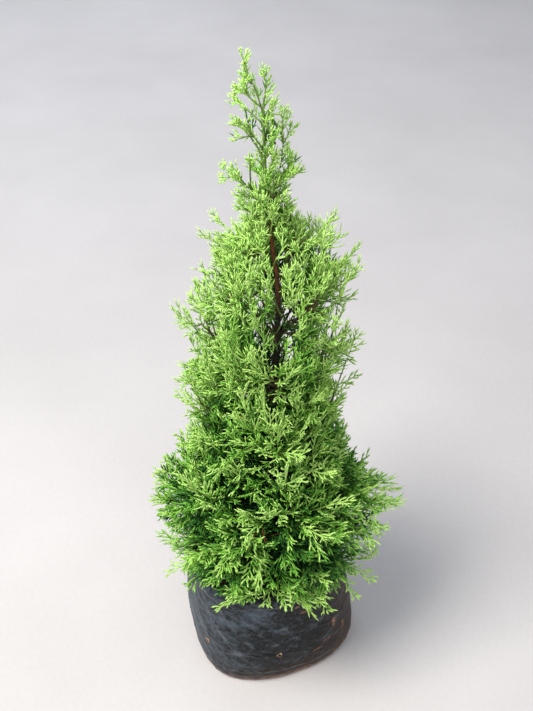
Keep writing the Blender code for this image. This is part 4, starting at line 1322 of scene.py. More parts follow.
# %% Leader: shoots
# The depth of the tip, then sideways and upward places from the leader outward, in millimetres.
SHOOTS = (
    (0, ((-16.8, 470), (-16.4, 480), (-16, 487), (-15.9, 493))),
    (-1, ((-16.8, 470), (-20, 480), (-23, 488), (-26, 494), (-27.6, 499), (-29, 503))),
    (-3, ((-24, 488), (-26, 490), (-27.5, 491))),
    (-4, ((-16.8, 473), (-24, 479), (-27, 483), (-31, 484))),
    (-4, ((-25, 480), (-27, 484), (-26, 488))),
    (5, ((-16.8, 464), (-23, 470), (-27, 473), (-31, 477))),
    (-5, ((-16.2, 448), (-23, 458), (-28, 463), (-32, 464))),
    (-5, ((-22, 456), (-26, 456), (-31, 454))),
    (4, ((-22, 456), (-25, 462), (-26, 467))),
    (5, ((-15, 434), (-18, 440), (-20, 442), (-22, 441))),
    (3, ((-11, 409), (-19, 418), (-27, 426), (-31, 431), (-38, 434))),
    (6, ((-28, 426), (-33, 429), (-38, 429))),
    (-6, ((-13, 409), (-19, 415), (-25, 418), (-29, 419))),
    (3, ((-11, 418), (-6, 435), (-5, 453), (-6, 465), (-6.5, 471))),
    (-2, ((-5.2, 456), (-8, 461), (-10, 465))),
    (5, ((-5.2, 452), (-3, 457), (-2, 461))),
    (0, ((-5, 442), (-4, 445), (-3, 447))),
    (-5, ((-12, 420), (-6, 431), (-2, 437), (0, 444))),
    (5, ((-11, 420), (-4, 428), (-1, 432), (0, 437))),
    (-8, ((-11, 418), (-8, 426), (-4, 430), (0, 432))),
    (3, ((-16.6, 468), (-14.5, 472), (-12.5, 475))),
    (6, ((-11, 409), (-7, 418), (-4, 423))),
    (-8, ((-11, 404), (-9, 412), (-4, 418))),
    (-6, ((-10.6, 396), (-6, 403), (-3, 408), (-1, 413))),
    (7, ((-10, 392), (-7, 398), (-3, 401), (2, 402))),
    (-9, ((-16.6, 460), (-15, 467), (-13, 474))), (9, ((-16, 452), (-17, 459), (-18, 466))),
    (-10, ((-15.4, 442), (-13, 450), (-12, 457))), (11, ((-15, 436), (-18, 444), (-20, 451))),
    (-11, ((-13, 426), (-12, 436), (-10, 445))), (12, ((-12, 420), (-18, 430), (-22, 439))),
    (-12, ((-11, 412), (-14, 422), (-17, 431))), (13, ((-11, 406), (-9, 417), (-8, 426))),
    (-13, ((-10.4, 398), (-15, 409), (-20, 417))), (13, ((-10, 394), (-18, 404), (-25, 411))),
    (-3, ((-10, 396), (-18, 403), (-25, 407), (-28, 410))),
)


def make_shoots():
    """Each shoot's path, resampled: it starts at the leader's depth and runs to its tip's."""
    paths = []
    for depth, places in SHOOTS:
        x, z = np.array(places, float).T * MM
        y = trunk_at(z[0])[1] + (depth * MM - trunk_at(z[0])[1]) * np.linspace(0, 1, len(x))
        paths.append(along_paths(at_depth(x, z, y)[None], np.linspace(0, 1, TWIG_POINTS)[None]))
    return np.concatenate(paths)


SHOOT_PATHS = make_shoots()
print("shoots:", len(SHOOT_PATHS))

# %% [markdown]
# ## Wood
#
# Boughs have the trunk's dark bark, with its relief. The stems inside the masses and the inner
# half of the twigs are thinner and browner, and the outer twigs are green. Each kind is one joined
# mesh.

# %% Wood: boughs, limbs and twigs
BOUGH_RADII = (1.75, 1.75, 1.75, 1.2, 0.9, 0.75)  # by tier, in millimetres
LIMB_FOOT_RADII = (1.3, 1.3, 1.3, 0.8, 0.7, 0.65)
LIMB_TIP_RADIUS = 0.55 * MM
TWIG_RADIUS = 0.60 * MM
TWIG_TIP_RADIUS = 0.42 * MM
SHOOT_RADIUS = 0.50 * MM
SHOOT_TIP_RADIUS = 0.36 * MM
BOUGH_SHARES = np.linspace(-0.01, 0.55, 40)  # the part of a limb that is its bough
BOUGH_THINS_TO = 0.6
WOODY_SHARES = np.linspace(0, 0.45, 5)  # of a twig, and then what is green of it
GREEN_SHARES = np.linspace(0.38, 1, 6)
WOODY_RADII = (0.70 * MM, 0.52 * MM)
WOODY_TIERS, GREEN_TIERS = (0, 1, 2, 3, 4, 5), (6, 7)
MASS_WORDS = ("skirt", "low", "middle", "waist", "upper", "shoulder")
BOUGH_SIDES, LIMB_SIDES, TWIG_SIDES, STALK_SIDES, ARM_SIDES = 9, 6, 5, 4, 3
BOUGH_FOOT_SWELL, BOUGH_FOOT_RINGS = 0.5, 2.5
BOUGH_RIPPLE, BOUGH_RIPPLE_TURN = 0.10, 1.9  # how high, and radians from ring to ring
BOUGH_FINISH = (((22, 15, 12), (70, 50, 39), 0.007, 0.0013, 0.45), TRUNK_GRAIN, 0.7)
TWIG_FINISH = (((52, 46, 24), (106, 94, 50), 0.006, 0.0013, 0.45), (*BARK_GRAIN, 0.0002), 0.65)


def parts_of(paths, shares):
    """The same shares of every path, as new paths."""
    return along_paths(paths, np.broadcast_to(shares, (len(paths), len(shares))))


def bough_tubes():
    """Boughs as rings with relief: the radius swells at the trunk and ripples along the bark."""
    has_bough = HAS_BOUGHS[LIMB_TIER]
    paths = parts_of(LIMBS[has_bough], BOUGH_SHARES)
    ring = np.arange(len(BOUGH_SHARES) - 1)
    thick = np.array(BOUGH_RADII)[LIMB_TIER[has_bough]][:, None] * MM
    radii = thick * np.linspace(1, BOUGH_THINS_TO, len(ring))
    swell = BOUGH_FOOT_SWELL * np.exp(-ring / BOUGH_FOOT_RINGS)
    radii = radii * (1 + swell + BOUGH_RIPPLE * np.sin(ring * BOUGH_RIPPLE_TURN))
    return tubes(paths, radii, BOUGH_SIDES, across_of(paths))


def limb_tubes(tiers):
    """The limbs of some tiers from trunk to end, tapering."""
    use = np.isin(LIMB_TIER, tiers)
    paths = LIMBS[use]
    feet = np.minimum(LIMB_TIER[use], len(LIMB_FOOT_RADII) - 1)
    foot = np.array(LIMB_FOOT_RADII)[feet][:, None] * MM
    radii = foot + (LIMB_TIP_RADIUS - foot) * np.linspace(0, 1, LIMB_POINTS - 1)
    return tubes(paths, radii, LIMB_SIDES, across_of(paths))


def twig_tubes(paths, thick, thin):
    """Tapering twigs on their paths."""
    radii = np.linspace(thick, thin, paths.shape[1] - 1)
    radii = np.broadcast_to(radii, (len(paths), len(radii)))
    return tubes(paths, radii, TWIG_SIDES, across_of(paths))


def nodes_of(*words):
    """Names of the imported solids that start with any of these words."""
    return sorted(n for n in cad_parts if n.split("_")[0] in words)


def make_wood():
    dark = plain_finish("bough_bark", *BOUGH_FINISH)
    brown = plain_finish("twig_bark", *TWIG_FINISH)
    boughs = put_mesh("bough_bark", *bough_tubes(), dark)
    dress(boughs, "bark", *nodes_of("bough"))
    limbs = put_mesh("limb_bark", *limb_tubes(WOODY_TIERS), brown)
    dress(limbs, "bark", *nodes_of(*MASS_WORDS))
    woody = put_mesh("woody_twigs", *twig_tubes(parts_of(TWIGS, WOODY_SHARES), *WOODY_RADII), brown)
    dress(woody, "bark", *nodes_of(*MASS_WORDS))
    green = [twig_tubes(parts_of(TWIGS, GREEN_SHARES), TWIG_RADIUS, TWIG_TIP_RADIUS),
             limb_tubes(GREEN_TIERS), twig_tubes(SHOOT_PATHS, SHOOT_RADIUS, SHOOT_TIP_RADIUS)]
    twigs = put_mesh("green_twigs", *joined(green), green_wood)
    dress(twigs, "foliage", *nodes_of("spire", "point", "tip"))


make_wood()

# %% [markdown]
# ## Two kinds of spray
#
# The low part of this tree has its grown foliage: flat fans that fork like antlers, a shoot with
# side shoots to left and right in turn, and each of those with a few long fingers. The upper part
# still has young foliage: thin straight stems with needles to all sides, like feathers. Either
# plan is drawn in the spray's own plane, x along it and y across, in metres, and its arms are then
# rolled out of that plane about the stem that they grow on.

# %% Spray plans
AXIS_STEPS = (0, 0.3, 0.62, 0.88, 1.0)  # shares of an arm's length at its points
SIDE_STEPS = (0, 0.42, 0.78, 1.0)
FINGER_STEPS = (0, 0.55, 1.0)
# Of a fan: side shoots, then their fingers. Pairs are the ends of a random range.
FAN_BEND = 0.25
FAN_ROLL = 0.38
SIDE_SPAN = (0.10, 0.95)
SIDE_SPACING = ((8, 1.9), (15, 2.5), (30, 2.9))  # by the spray's length, both in millimetres
SIDE_JITTER = 0.3
SIDE_ANGLE = math.radians(38)
SIDE_WANDER = (-0.12, 0.16)
SIDE_CURL = (0.05, 0.45)
SIDE_LENGTH, SIDE_GROWTH = 4.2 * MM, 0.36  # a length, and a share of the spray's
SIDE_LUCK = (0.76, 1.2)
SIDE_FADE, SIDE_RISE, SIDE_FULL = 0.8, 0.5, 0.25  # powers to the tip and foot, and full from here
FINGER_SEAT = 0.7  # where fingers sit in their part of a side shoot
FINGER_FADE = 1.25  # a finger's length fades to nothing at this share
SIDE_AGE, FINGER_AGE, FAN_AGEING = 0.45, 0.6, 0.4  # at a fan's foot, and how much to its tip
FINGER_SPACING = 3.5 * MM
FINGER_START = 3.0 * MM
MOST_FINGERS = 3
FINGER_JITTER = 0.05
FINGER_ANGLE = math.radians(27)
FINGER_WANDER = 0.12
FINGER_CURL = 0.35
FINGER_SHARE = 0.80
FINGER_LENGTHS = (3.6 * MM, 7.5 * MM)
# Of a feather: side stems, then needles.
FEATHER_BEND = 0.3
STEM_SPACING = 6 * MM
STEM_SPAN = (0.08, 0.62)
STEM_ANGLES = (0.5, 0.8)
STEM_CURL = (0.1, 0.5)
STEM_LENGTH, STEM_GROWTH = 2.5 * MM, 0.42
STEM_LUCK = (0.75, 1.2)
SIDE_NEEDLES = 0.85  # needles on side stems against those on the axis
NEEDLE_ANGLE = math.radians(34)
NEEDLE_SPACING = 2.4 * MM
NEEDLE_SIZES = ((8, 4.8), (12, 6.4), (20, 7.5), (30, 7.8))  # by the spray's length
NEEDLE_ROLL = 0.9
NEEDLE_SEATS = (0.2, 0.8)  # where a needle may sit in its part of the stem
NEEDLE_OPEN, NEEDLE_CLOSING = 1.2, 0.55  # of the angle: at the foot, and less by this at the tip
NEEDLE_LEAST, NEEDLE_SWELL, NEEDLE_SHIFT = 0.70, 0.45, 0.8  # of the size, along the stem
NEEDLE_LUCK = (0.8, 1.2)
STEM_SEATS = (0.1, 0.9)
AXIS_AGE, STEM_AGE, NEEDLE_AGE, NEEDLE_AGEING = 0.6, 0.65, 0.40, 0.45
NEEDLE_CURL = 0.30


def alternate(order):
    """1 for every even number and -1 for every odd one."""
    return np.where(order % 2 == 0, 1.0, -1.0)


def arms(roots, headings, lengths, curl, steps):
    """Flat curved arms: each turns by its curl on the way. Points at these shares of the length."""
    share = np.asarray(steps)[None, :]
    middle = headings[:, None] + curl[:, None] * share / 2
    reach = lengths[:, None] * share
    x = roots[:, 0:1] + reach * np.cos(middle)
    y = roots[:, 1:2] + reach * np.sin(middle)
    return np.stack([x, y], -1)


def rolled(paths, roots, headings, rolls):
    """Flat arms (n, k, 2) turned out of the plane about a line through a root with a heading."""
    ahead = np.stack([np.cos(headings), np.sin(headings)], -1)[:, None]
    beside = np.stack([-ahead[..., 1], ahead[..., 0]], -1)
    offset = paths - roots[:, None]
    forward = (offset * ahead).sum(-1, keepdims=True)
    sideways = (offset * beside).sum(-1, keepdims=True)
    turn = rolls[:, None, None]
    flat = roots[:, None] + forward * ahead + sideways * beside * np.cos(turn)
    return np.concatenate([flat, sideways * np.sin(turn)], -1)


def main_axis(length, bend):
    """The stem of a spray, as one flat arm."""
    return arms(np.zeros((1, 2)), np.zeros(1), np.array([length]), bend, AXIS_STEPS)


def unrolled(flat):
    """Flat arms as arms in space that stay in the plane."""
    return np.concatenate([flat, 0 * flat[..., :1]], -1)


def fan_plan(length, rng):
    """A fan: its axis (1, 5, 3), side shoots (n, 4, 3) and fingers (m, 3, 3), and their age."""
    axis = main_axis(length, rng.uniform(-FAN_BEND, FAN_BEND, 1))
    gap = float(along(SIDE_SPACING, length))
    spots = np.arange(SIDE_SPAN[0] * length, SIDE_SPAN[1] * length, gap)
    count = len(spots)
    share = (spots + rng.uniform(-SIDE_JITTER, SIDE_JITTER, count) * gap) / length
    side = alternate(np.arange(count))
    profile = (1 - share) ** SIDE_FADE * np.minimum(1, share / SIDE_FULL) ** SIDE_RISE
    lengths = (SIDE_LENGTH + SIDE_GROWTH * length * profile) * rng.uniform(*SIDE_LUCK, count)
    roots = along_paths(axis, share[None])[0]
    headings = side * (SIDE_ANGLE + rng.uniform(*SIDE_WANDER, count))
    curl = -side * rng.uniform(*SIDE_CURL, count)
    sides = arms(roots, headings, lengths, curl, SIDE_STEPS)
    number = np.round((lengths - FINGER_START) / FINGER_SPACING)
    number = np.clip(number, 0, MOST_FINGERS).astype(int)
    parent = np.repeat(np.arange(count), number)
    order = np.concatenate([np.arange(n) for n in number])
    jitter = rng.uniform(-FINGER_JITTER, FINGER_JITTER, len(parent))
    place = (order + FINGER_SEAT) / (number[parent] + FINGER_SEAT) + jitter
    finger_roots = along_paths(sides[parent], place[:, None])[:, 0]
    which = -alternate(order) * side[parent]
    toward = headings[parent] + curl[parent] * place
    wander = rng.uniform(-FINGER_WANDER, FINGER_WANDER, len(parent))
    toward = toward + which * (FINGER_ANGLE + wander)
    finger_lengths = FINGER_SHARE * lengths[parent] * (FINGER_FADE - place)
    finger_lengths = np.clip(finger_lengths, *FINGER_LENGTHS)
    fingers = arms(finger_roots, toward, finger_lengths, -which * FINGER_CURL, FINGER_STEPS)
    rolls = rng.normal(0, FAN_ROLL, count)
    level = np.zeros(count)
    solid = [unrolled(axis), rolled(sides, roots, level, rolls),
             rolled(fingers, roots[parent], level[parent], rolls[parent])]
    ages = [np.zeros(1), SIDE_AGE + FAN_AGEING * share, FINGER_AGE + FAN_AGEING * share[parent]]
    return solid, ages


def needles_on(stem, length, heading, curl, size, rng):
    """Needles to all sides of one flat stem: longest halfway, and closer to it near its tip."""
    number = max(2, int(length / NEEDLE_SPACING))
    share = (np.arange(number) + rng.uniform(*NEEDLE_SEATS, number)) / number
    side = alternate(np.arange(number))
    roots = along_paths(stem, share[None])[0]
    ahead = heading + curl * share
    toward = ahead + side * NEEDLE_ANGLE * (NEEDLE_OPEN - NEEDLE_CLOSING * share)
    swell = NEEDLE_LEAST + NEEDLE_SWELL * np.sin(math.pi * share**NEEDLE_SHIFT)
    lengths = size * swell * rng.uniform(*NEEDLE_LUCK, number)
    flat = arms(roots, toward, lengths, -side * NEEDLE_CURL, FINGER_STEPS)
    return rolled(flat, roots, ahead, rng.normal(0, NEEDLE_ROLL, number)), share


def feather_plan(length, rng):
    """A feather: its axis, a few side stems and the needles on all of them, and their age."""
    size = float(along(NEEDLE_SIZES, length))
    bend = rng.uniform(-FEATHER_BEND, FEATHER_BEND, 1)
    axis = main_axis(length, bend)
    count = int(length / STEM_SPACING)
    share = (np.arange(count) + rng.uniform(*STEM_SEATS, count)) / max(count, 1)
    share = STEM_SPAN[0] + STEM_SPAN[1] * share
    side = alternate(np.arange(count))
    roots = along_paths(axis, share[None])[0]
    headings = bend[0] * share + side * rng.uniform(*STEM_ANGLES, count)
    lengths = (STEM_LENGTH + STEM_GROWTH * length * (1 - share)) * rng.uniform(*STEM_LUCK, count)
    curl = -side * rng.uniform(*STEM_CURL, count)
    sides = arms(roots, headings, lengths, curl, SIDE_STEPS)
    found = [needles_on(axis, length, 0.0, bend[0], size, rng)]
    for i in range(count):
        found.append(needles_on(sides[i:i + 1], lengths[i], headings[i], curl[i],
                                SIDE_NEEDLES * size, rng))
    needles, places = (np.concatenate(column) for column in zip(*found))
    ages = [np.full(1, AXIS_AGE), np.full(count, STEM_AGE), NEEDLE_AGE + NEEDLE_AGEING * places]
    return [unrolled(axis), unrolled(sides), needles], ages


PLAN_SIZES = (8, 12, 17, 23, 30)  # lengths of the spray plans, in millimetres
PLANS_EACH = 4


def make_plans():
    """Several plans of each kind and size, from a seed, so that no two neighbours look alike."""
    rng = np.random.default_rng(31)
    return [[[plan(size * MM, rng) for _ in range(PLANS_EACH)] for size in PLAN_SIZES]
            for plan in (fan_plan, feather_plan)]


PLANS = make_plans()
for size, fans, feathers in zip(PLAN_SIZES, *PLANS):
    print(f"{size} mm: a fan has {sum(len(k) for k in fans[0][0])} arms, "
          f"a feather {sum(len(k) for k in feathers[0][0])}")

# %% [markdown]
# ## Where the sprays grow
#
# Sprays leave their twig to left and right in turn, at the same forty degrees, and one more ends
# it. Each is then fitted: a spray whose tip would pass the crown's outline is shortened, and one
# that would touch the bag or has no room is left out. The tip turns towards the light.

# %% Sprays: growth
SPRAY_ANGLE = math.radians(44)
END_WANDER, SIDE_ANGLE_SPREAD = 0.12, 0.10  # in the angle of the last spray and of the others
TWIG_LEAN, SPRAY_LEAN, SPRAY_TILT = 0.45, 0.3, 0.25  # how far sprays lean out of their plane
LOOSE_ROLL, LOOSE_TILT = 2.4, 1.5  # by how much each spray of a loose twig is turned on
UPRIGHT_PULL = 0.35
LAST_SIDE = 0.97  # where a twig's last side spray may be
SPRAY_SEAT = 0.4  # where sprays sit in their part of a twig
MOST_SPRAYS, MOST_NEEDLES = 8, 40  # on one twig
BESIDE = 0.08  # shares of a twig before and after a root, for its heading there
END_SIZE, FOOT_SIZE, SIZE_SWELL = 0.95, 0.70, 0.42  # the last spray, and the others
SIZE_LUCK = (0.75, 1.15)
UP = np.array((0, 0, 1.0))
EDGE_MARGIN = 3.5 * MM  # side shoots reach this far past the line from a spray's foot to its tip
BAG_ROUND, BAG_GAP = 68.5 * MM, 1.5 * MM  # kept clear: the bag's wall, and above its mouth
TRUNK_GAP = 4 * MM
FIT_ROUNDS, FIT_CUT = 3, 1.05
SPRAY_MIDDLE = 0.55
SHORTEST_SHARE, SHORTEST_SPRAY = 0.5, 9 * MM  # a spray cut to less than both is left out


def grow_sprays(paths, length, upright, loose, gap, start, rng, most=MOST_SPRAYS):
    """Sprays along each path, gap apart, and at its end.

    A spray leaves to left and right of its path in turn, in a plane that is level when loose is
    0 and at any roll when it is 1. Upright pulls its heading up, and most is the largest number
    on a path. Gives roots, headings, normals, lengths, the path of each and its share of it.
    """
    span = np.linalg.norm(np.diff(paths, axis=1), axis=2).sum(1)
    number = np.clip((span * (1 - start) / gap).astype(int), 1, most)
    owner = np.repeat(np.arange(len(paths)), number + 1)
    order = np.concatenate([np.arange(n + 1) for n in number])
    total = len(owner)
    last = order == number[owner]
    side_share = start + (LAST_SIDE - start) * (order + SPRAY_SEAT) / number[owner]
    share = np.where(last, 1.0, side_share)
    before, root, after = (along_paths(paths[owner], share[:, None] + step)[:, 0]
                           for step in (-BESIDE, 0, BESIDE))
    forward = unit(after - before)
    level = unit(np.cross(forward, UP) + 1e-6)
    lean = rng.normal(0, TWIG_LEAN, len(paths))[owner] + rng.normal(0, SPRAY_LEAN, total)
    roll = math.pi * (order % 2) + lean + LOOSE_ROLL * order * loose[owner]
    other = np.cross(level, forward)
    side = np.cos(roll)[:, None] * level + np.sin(roll)[:, None] * other
    angle = np.where(last, rng.normal(0, END_WANDER, total),
                     SPRAY_ANGLE + rng.normal(0, SIDE_ANGLE_SPREAD, total))
    heading = np.cos(angle)[:, None] * forward + np.sin(angle)[:, None] * side
    heading = unit(heading + UP * (UPRIGHT_PULL * upright[owner])[:, None])
    normal = unit(np.cross(np.cross(heading, UP + 1e-4), heading))
    turned_on = rng.normal(0, SPRAY_TILT, total) + LOOSE_TILT * loose[owner] * order
    tilt = lean[:, None] + turned_on[:, None]
    normal = np.cos(tilt) * normal + np.sin(tilt) * np.cross(heading, normal)
    swell = FOOT_SIZE + SIZE_SWELL * np.sin(math.pi * np.clip(share, 0, 1))
    size = length[owner] * np.where(last, END_SIZE, swell) * rng.uniform(*SIZE_LUCK, total)
    return root, heading, normal, size, owner, share


def bag_clear(points):
    """How far points are above the bag's mouth or outside its wall."""
    azimuth = np.arctan2(points[..., 1], points[..., 0])
    outside = np.hypot(points[..., 0], points[..., 1]) - bag_round(BAG_ROUND, azimuth)
    over = points[..., 2] - (BAG_TOP + BAG_GAP)
    return np.maximum(outside, over)


def above_skirt(points):
    """Whether points are above the skirt's lower edge, or inside it."""
    azimuth = np.arctan2(points[..., 1], points[..., 0])
    inside = np.hypot(points[..., 0], points[..., 1]) < SKIRT_INSIDE
    return inside | (points[..., 2] > skirt_floor_at(azimuth))


def fit_sprays(root, heading, size, free):
    """Sizes cut to the crown's reach, and which sprays have room for at least half."""
    fitted = size.copy()
    for _ in range(FIT_ROUNDS):
        tip = root + heading * fitted[:, None]
        radius, azimuth = from_trunk(tip)
        spare = reach_at(tip[:, 2], azimuth) - EDGE_MARGIN - radius
        cut = (spare < 0) & ~free
        fitted = np.where(cut, np.maximum(fitted + spare * FIT_CUT, 0), fitted)
    tip = root + heading * fitted[:, None]
    middle = root + heading * fitted[:, None] * SPRAY_MIDDLE
    room = (bag_clear(tip) > 0) & (bag_clear(middle) > 0)
    room &= above_skirt(tip - 2 * MM * UP)
    room &= from_trunk(tip)[0] > TRUNK_GAP
    room &= fitted > np.minimum(SHORTEST_SHARE * size, SHORTEST_SPRAY)
    return fitted, free | room


print("spray angle:", round(math.degrees(SPRAY_ANGLE)), "degrees")

# %% [markdown]
# ## Openings
#
# In the upper half the picture shows bits of background and a long stretch of bare trunk. Foliage
# there is thinned: a spray or a leaflet that stands in the way of an opening, seen along the
# picture's line of sight, is left out. The openings are given where that line meets the trunk's
# own plane. Over the bare trunk only what grows in front is thinned, so no light shows beside it.

# %% Sprays: openings
# Sideways place and height of an opening's middle, half its width and height in millimetres, and
# the share of sprays taken out.
OPENINGS = (
    (4, 330, 5, 10, 0.5), (3, 300, 6, 8, 0.6), (19, 379, 3, 3, 0.8), (31, 380, 4.5, 6.5, 0.9),
    (-29, 399, 3, 3, 0.8), (-50, 371, 3.5, 6, 0.9), (-44, 363, 5, 3, 0.85), (37, 360, 4, 4, 0.85),
    (27, 341, 4, 4, 0.8), (34, 333, 3, 3, 0.8), (33, 316, 5, 4, 0.8), (-24, 340, 6, 6, 0.45),
    (30, 296, 9, 7, 0.5), (-50, 318, 8, 7, 0.4), (2, 436, 3, 9, 0.8),
    (-24, 410, 4, 8, 0.6), (-21.5, 428, 3.5, 6, 0.9), (-2, 415, 3, 4, 0.8), (3, 405, 3, 3, 0.7),
    (-60, 303, 3, 4, 0.8), (41, 279, 5, 5, 0.7), (-44, 349, 3, 3, 0.7),
)
# Where the picture shows the trunk bare: the same for the sprays in front of it, then for single
# leaflets. What grows further back than TRUNK_BACK stays.
TRUNK_OPENINGS = (
    (-10, 391, 2.3, 9, 0.9), (-7.8, 374, 2.4, 10, 0.95), (-5.4, 355, 2.7, 13, 0.96),
    (-3.4, 326, 3.4, 24, 0.92), (-6.0, 266, 5.0, 10, 0.80),
)
TRUNK_BACK = 3 * MM
BARE_TRUNK = ((-9.9, 389, 1.8, 9, 0.85), (-7.9, 374, 1.9, 10, 0.88), (-5.4, 356, 2.2, 13, 0.90),
              (-3.2, 328, 2.8, 24, 0.88), (-6, 264, 4.5, 11, 0.85))


def in_opening(points, luck, openings, deepest=1.0):
    """Which points stand in an opening, no further back than deepest, and lose their draw."""
    x, z = seen_place(points)
    out = np.zeros(len(points), bool)
    for at, up, wide, tall, taken in openings:
        near = ((x / MM - at) / wide) ** 2 + ((z / MM - up) / tall) ** 2
        out |= (near < 1.0) & (luck < taken)
    return out & (points[:, 1] < deepest)


def in_the_way(points, luck):
    """Which points stand in an opening, or in front of the bare trunk."""
    return in_opening(points, luck, OPENINGS) | in_opening(points, luck, TRUNK_OPENINGS, TRUNK_BACK)


print("openings:", len(OPENINGS), "and along the trunk:", len(TRUNK_OPENINGS))

# %% [markdown]
# ## All the sprays, and how light each is
#
# Twigs, limbs and shoots all carry sprays, by one rule with a spacing of their own. Each spray
# also gets a lightness, and most of it is painted light and shade: the crown is painted dark
# inside and low down, and pale where it meets the sky, high up and on the sprigs in front, on top
# of what the lamps do. Young growth at the edge really is paler too, and that part is its own
# colour.

# %% Sprays: all of them
# Height in millimetres, and how much lighter the foliage is painted there: painted shade low
# down, painted light higher up.
LIGHT_BY_HEIGHT = ((100, -0.24), (180, -0.10), (230, 0.24), (280, 0.60), (340, 0.82), (390, 0.98),
                   (430, 0.96), (500, 1.10))
# A little higher up than a spray, and how much being near the crown's edge there counts: painted
# light where the sky reaches in from above.
SKY_ABOVE = ((10 * MM, 0.93), (20 * MM, 0.86))
# Painted shade by depth in the crown, a random lightness for each twig, painted light on the sprigs
# in front, and the paler colour of young growth further along a twig.
DEPTH_LIGHT, DEPTH_MIDDLE, SHOOT_DEPTH = 3.0, 0.74, 0.66
FAVOUR_LIGHT, SHOOT_FAVOUR, FRONT_LIGHT = 0.28, 0.12, 0.14
AGE_LIGHT, AGE_MIDDLE = 0.15, 0.6
LOOSENESS = np.array((0, 0, 0.1, 0.3, 0.6, 0.8, 1, 1))  # by tier, from the skirt up
TWIG_GAP, LIMB_GAP, SHOOT_GAP = 6.0 * MM, 7.5 * MM, 3.4 * MM  # between two sprays
TWIG_BARE, LIMB_BARE, SHOOT_BARE = 0.18, 0.20, 0.12  # share without sprays
LIMB_SPRAYS = 0.9  # length of a limb's own sprays against its tier's
LIMB_INSIDE = 4  # points at a limb's foot that are left out
SHORT_SHOOT = 12 * MM
SHOOT_SPRAYS = (6.0, 8.0)  # in millimetres, on short shoots and on others
SHOOT_END = 4.5 * MM
PARTS_SEEN = (0.05, 0.2, 0.35, 0.5, 0.65, 0.8, 0.95)  # of a spray, tried against the openings


def painted_light_and_tone(places, kind, share, favour):
    """How light foliage is painted: painted shade further in and lower down, painted light further
    out, higher up and on front sprigs, and paler further along its twig, as young growth is.

    How far out is the radius against the crown's reach, there or a little higher, where the
    crown may be narrower and lets the sky in from above.
    """
    radius, azimuth = from_trunk(places)
    depth = radius / reach_at(places[:, 2], azimuth)
    for higher, share_of in SKY_ABOVE:
        above = np.minimum(radius / reach_at(places[:, 2] + higher, azimuth), 1.0)
        depth = np.maximum(depth, share_of * above)
    depth = np.where(kind == SHOOT, SHOOT_DEPTH, depth)
    heights, lifts = zip(*LIGHT_BY_HEIGHT)
    light = DEPTH_LIGHT * (depth - DEPTH_MIDDLE) + FAVOUR_LIGHT * favour
    light = light + AGE_LIGHT * (share - AGE_MIDDLE) + FRONT_LIGHT * (kind == FRONT)
    light = light + np.interp(places[:, 2] / MM, heights, lifts)
    return light + SHOOT_FAVOUR * (kind == SHOOT) * favour


def all_sprays():
    """The sprays of twigs, limbs and shoots: root, heading, normal, size, tier and lightness."""
    rng = np.random.default_rng(41)
    lengths = SPRAY_LENGTHS * MM
    short = np.linalg.norm(SHOOT_PATHS[:, -1] - SHOOT_PATHS[:, 0], axis=1) < SHORT_SHOOT
    groups = []
    for paths, tiers, kinds, length, gap, start in (
        (TWIGS, TWIG_TIER, TWIG_KIND, lengths[TWIG_TIER], TWIG_GAP, TWIG_BARE),
        (LIMBS[:, LIMB_INSIDE:], LIMB_TIER, np.full(len(LIMBS), INSIDE),
         LIMB_SPRAYS * lengths[LIMB_TIER], LIMB_GAP, LIMB_BARE),
        (SHOOT_PATHS, np.full(len(short), TOP_TIER), np.full(len(short), SHOOT),
         np.where(short, *SHOOT_SPRAYS) * MM, SHOOT_GAP, SHOOT_BARE),
    ):
        rise = UPRIGHTS[tiers] * ((kinds == INSIDE) | (kinds == SHOOT))
        grown = grow_sprays(paths, length, rise, LOOSENESS[tiers], gap, start, rng)
        *_, owner, _ = grown
        groups.append((*grown, tiers[owner], kinds[owner], rng.normal(0, 1, len(tiers))[owner]))
    root, heading, normal, size, _, share, tier, kind, favour = map(np.concatenate, zip(*groups))
    on_sprig = (kind == EDGE) | (kind == FRONT)
    ends = share == 1.0
    size = np.where(on_sprig, np.where(ends, END_SPRAY * lengths[tier], SPRIG_SIDES * size), size)
    size = np.where(ends & (kind == SHOOT), SHOOT_END, size)
    size, keep = fit_sprays(root, heading, size, kind != INSIDE)
    middle = root + heading * (0.5 * size)[:, None]
    luck = rng.uniform(0, 1, len(root))
    for part in PARTS_SEEN:
        keep &= ~in_the_way(root + heading * (part * size)[:, None], luck) | (kind == SHOOT)
    light = painted_light_and_tone(middle, kind, share, favour)
    return [a[keep] for a in (root, heading, normal, size, tier, light)]


SPRAYS = all_sprays()
print("sprays:", len(SPRAYS[0]), "mean length", round(float(SPRAYS[3].mean()) / MM, 1), "mm")

# %% [markdown]
# ## From plans to foliage
#
# Every spray takes a plan of about its own size. The plan's points are turned and moved as whole
# arrays: x goes along the heading, y across it and z along the normal, and the whole spray is bowed
# up towards the light. Young stems are never bare either, so needles are set along them one by
# one. Then the leaflets are dealt out by lightness into five plain greens. Most of that lightness
# is painted light and shade, dark inside and low in the crown and pale near the top and the sky;
# older wood darker and outer tines lighter is how a lemon cypress colours with age.

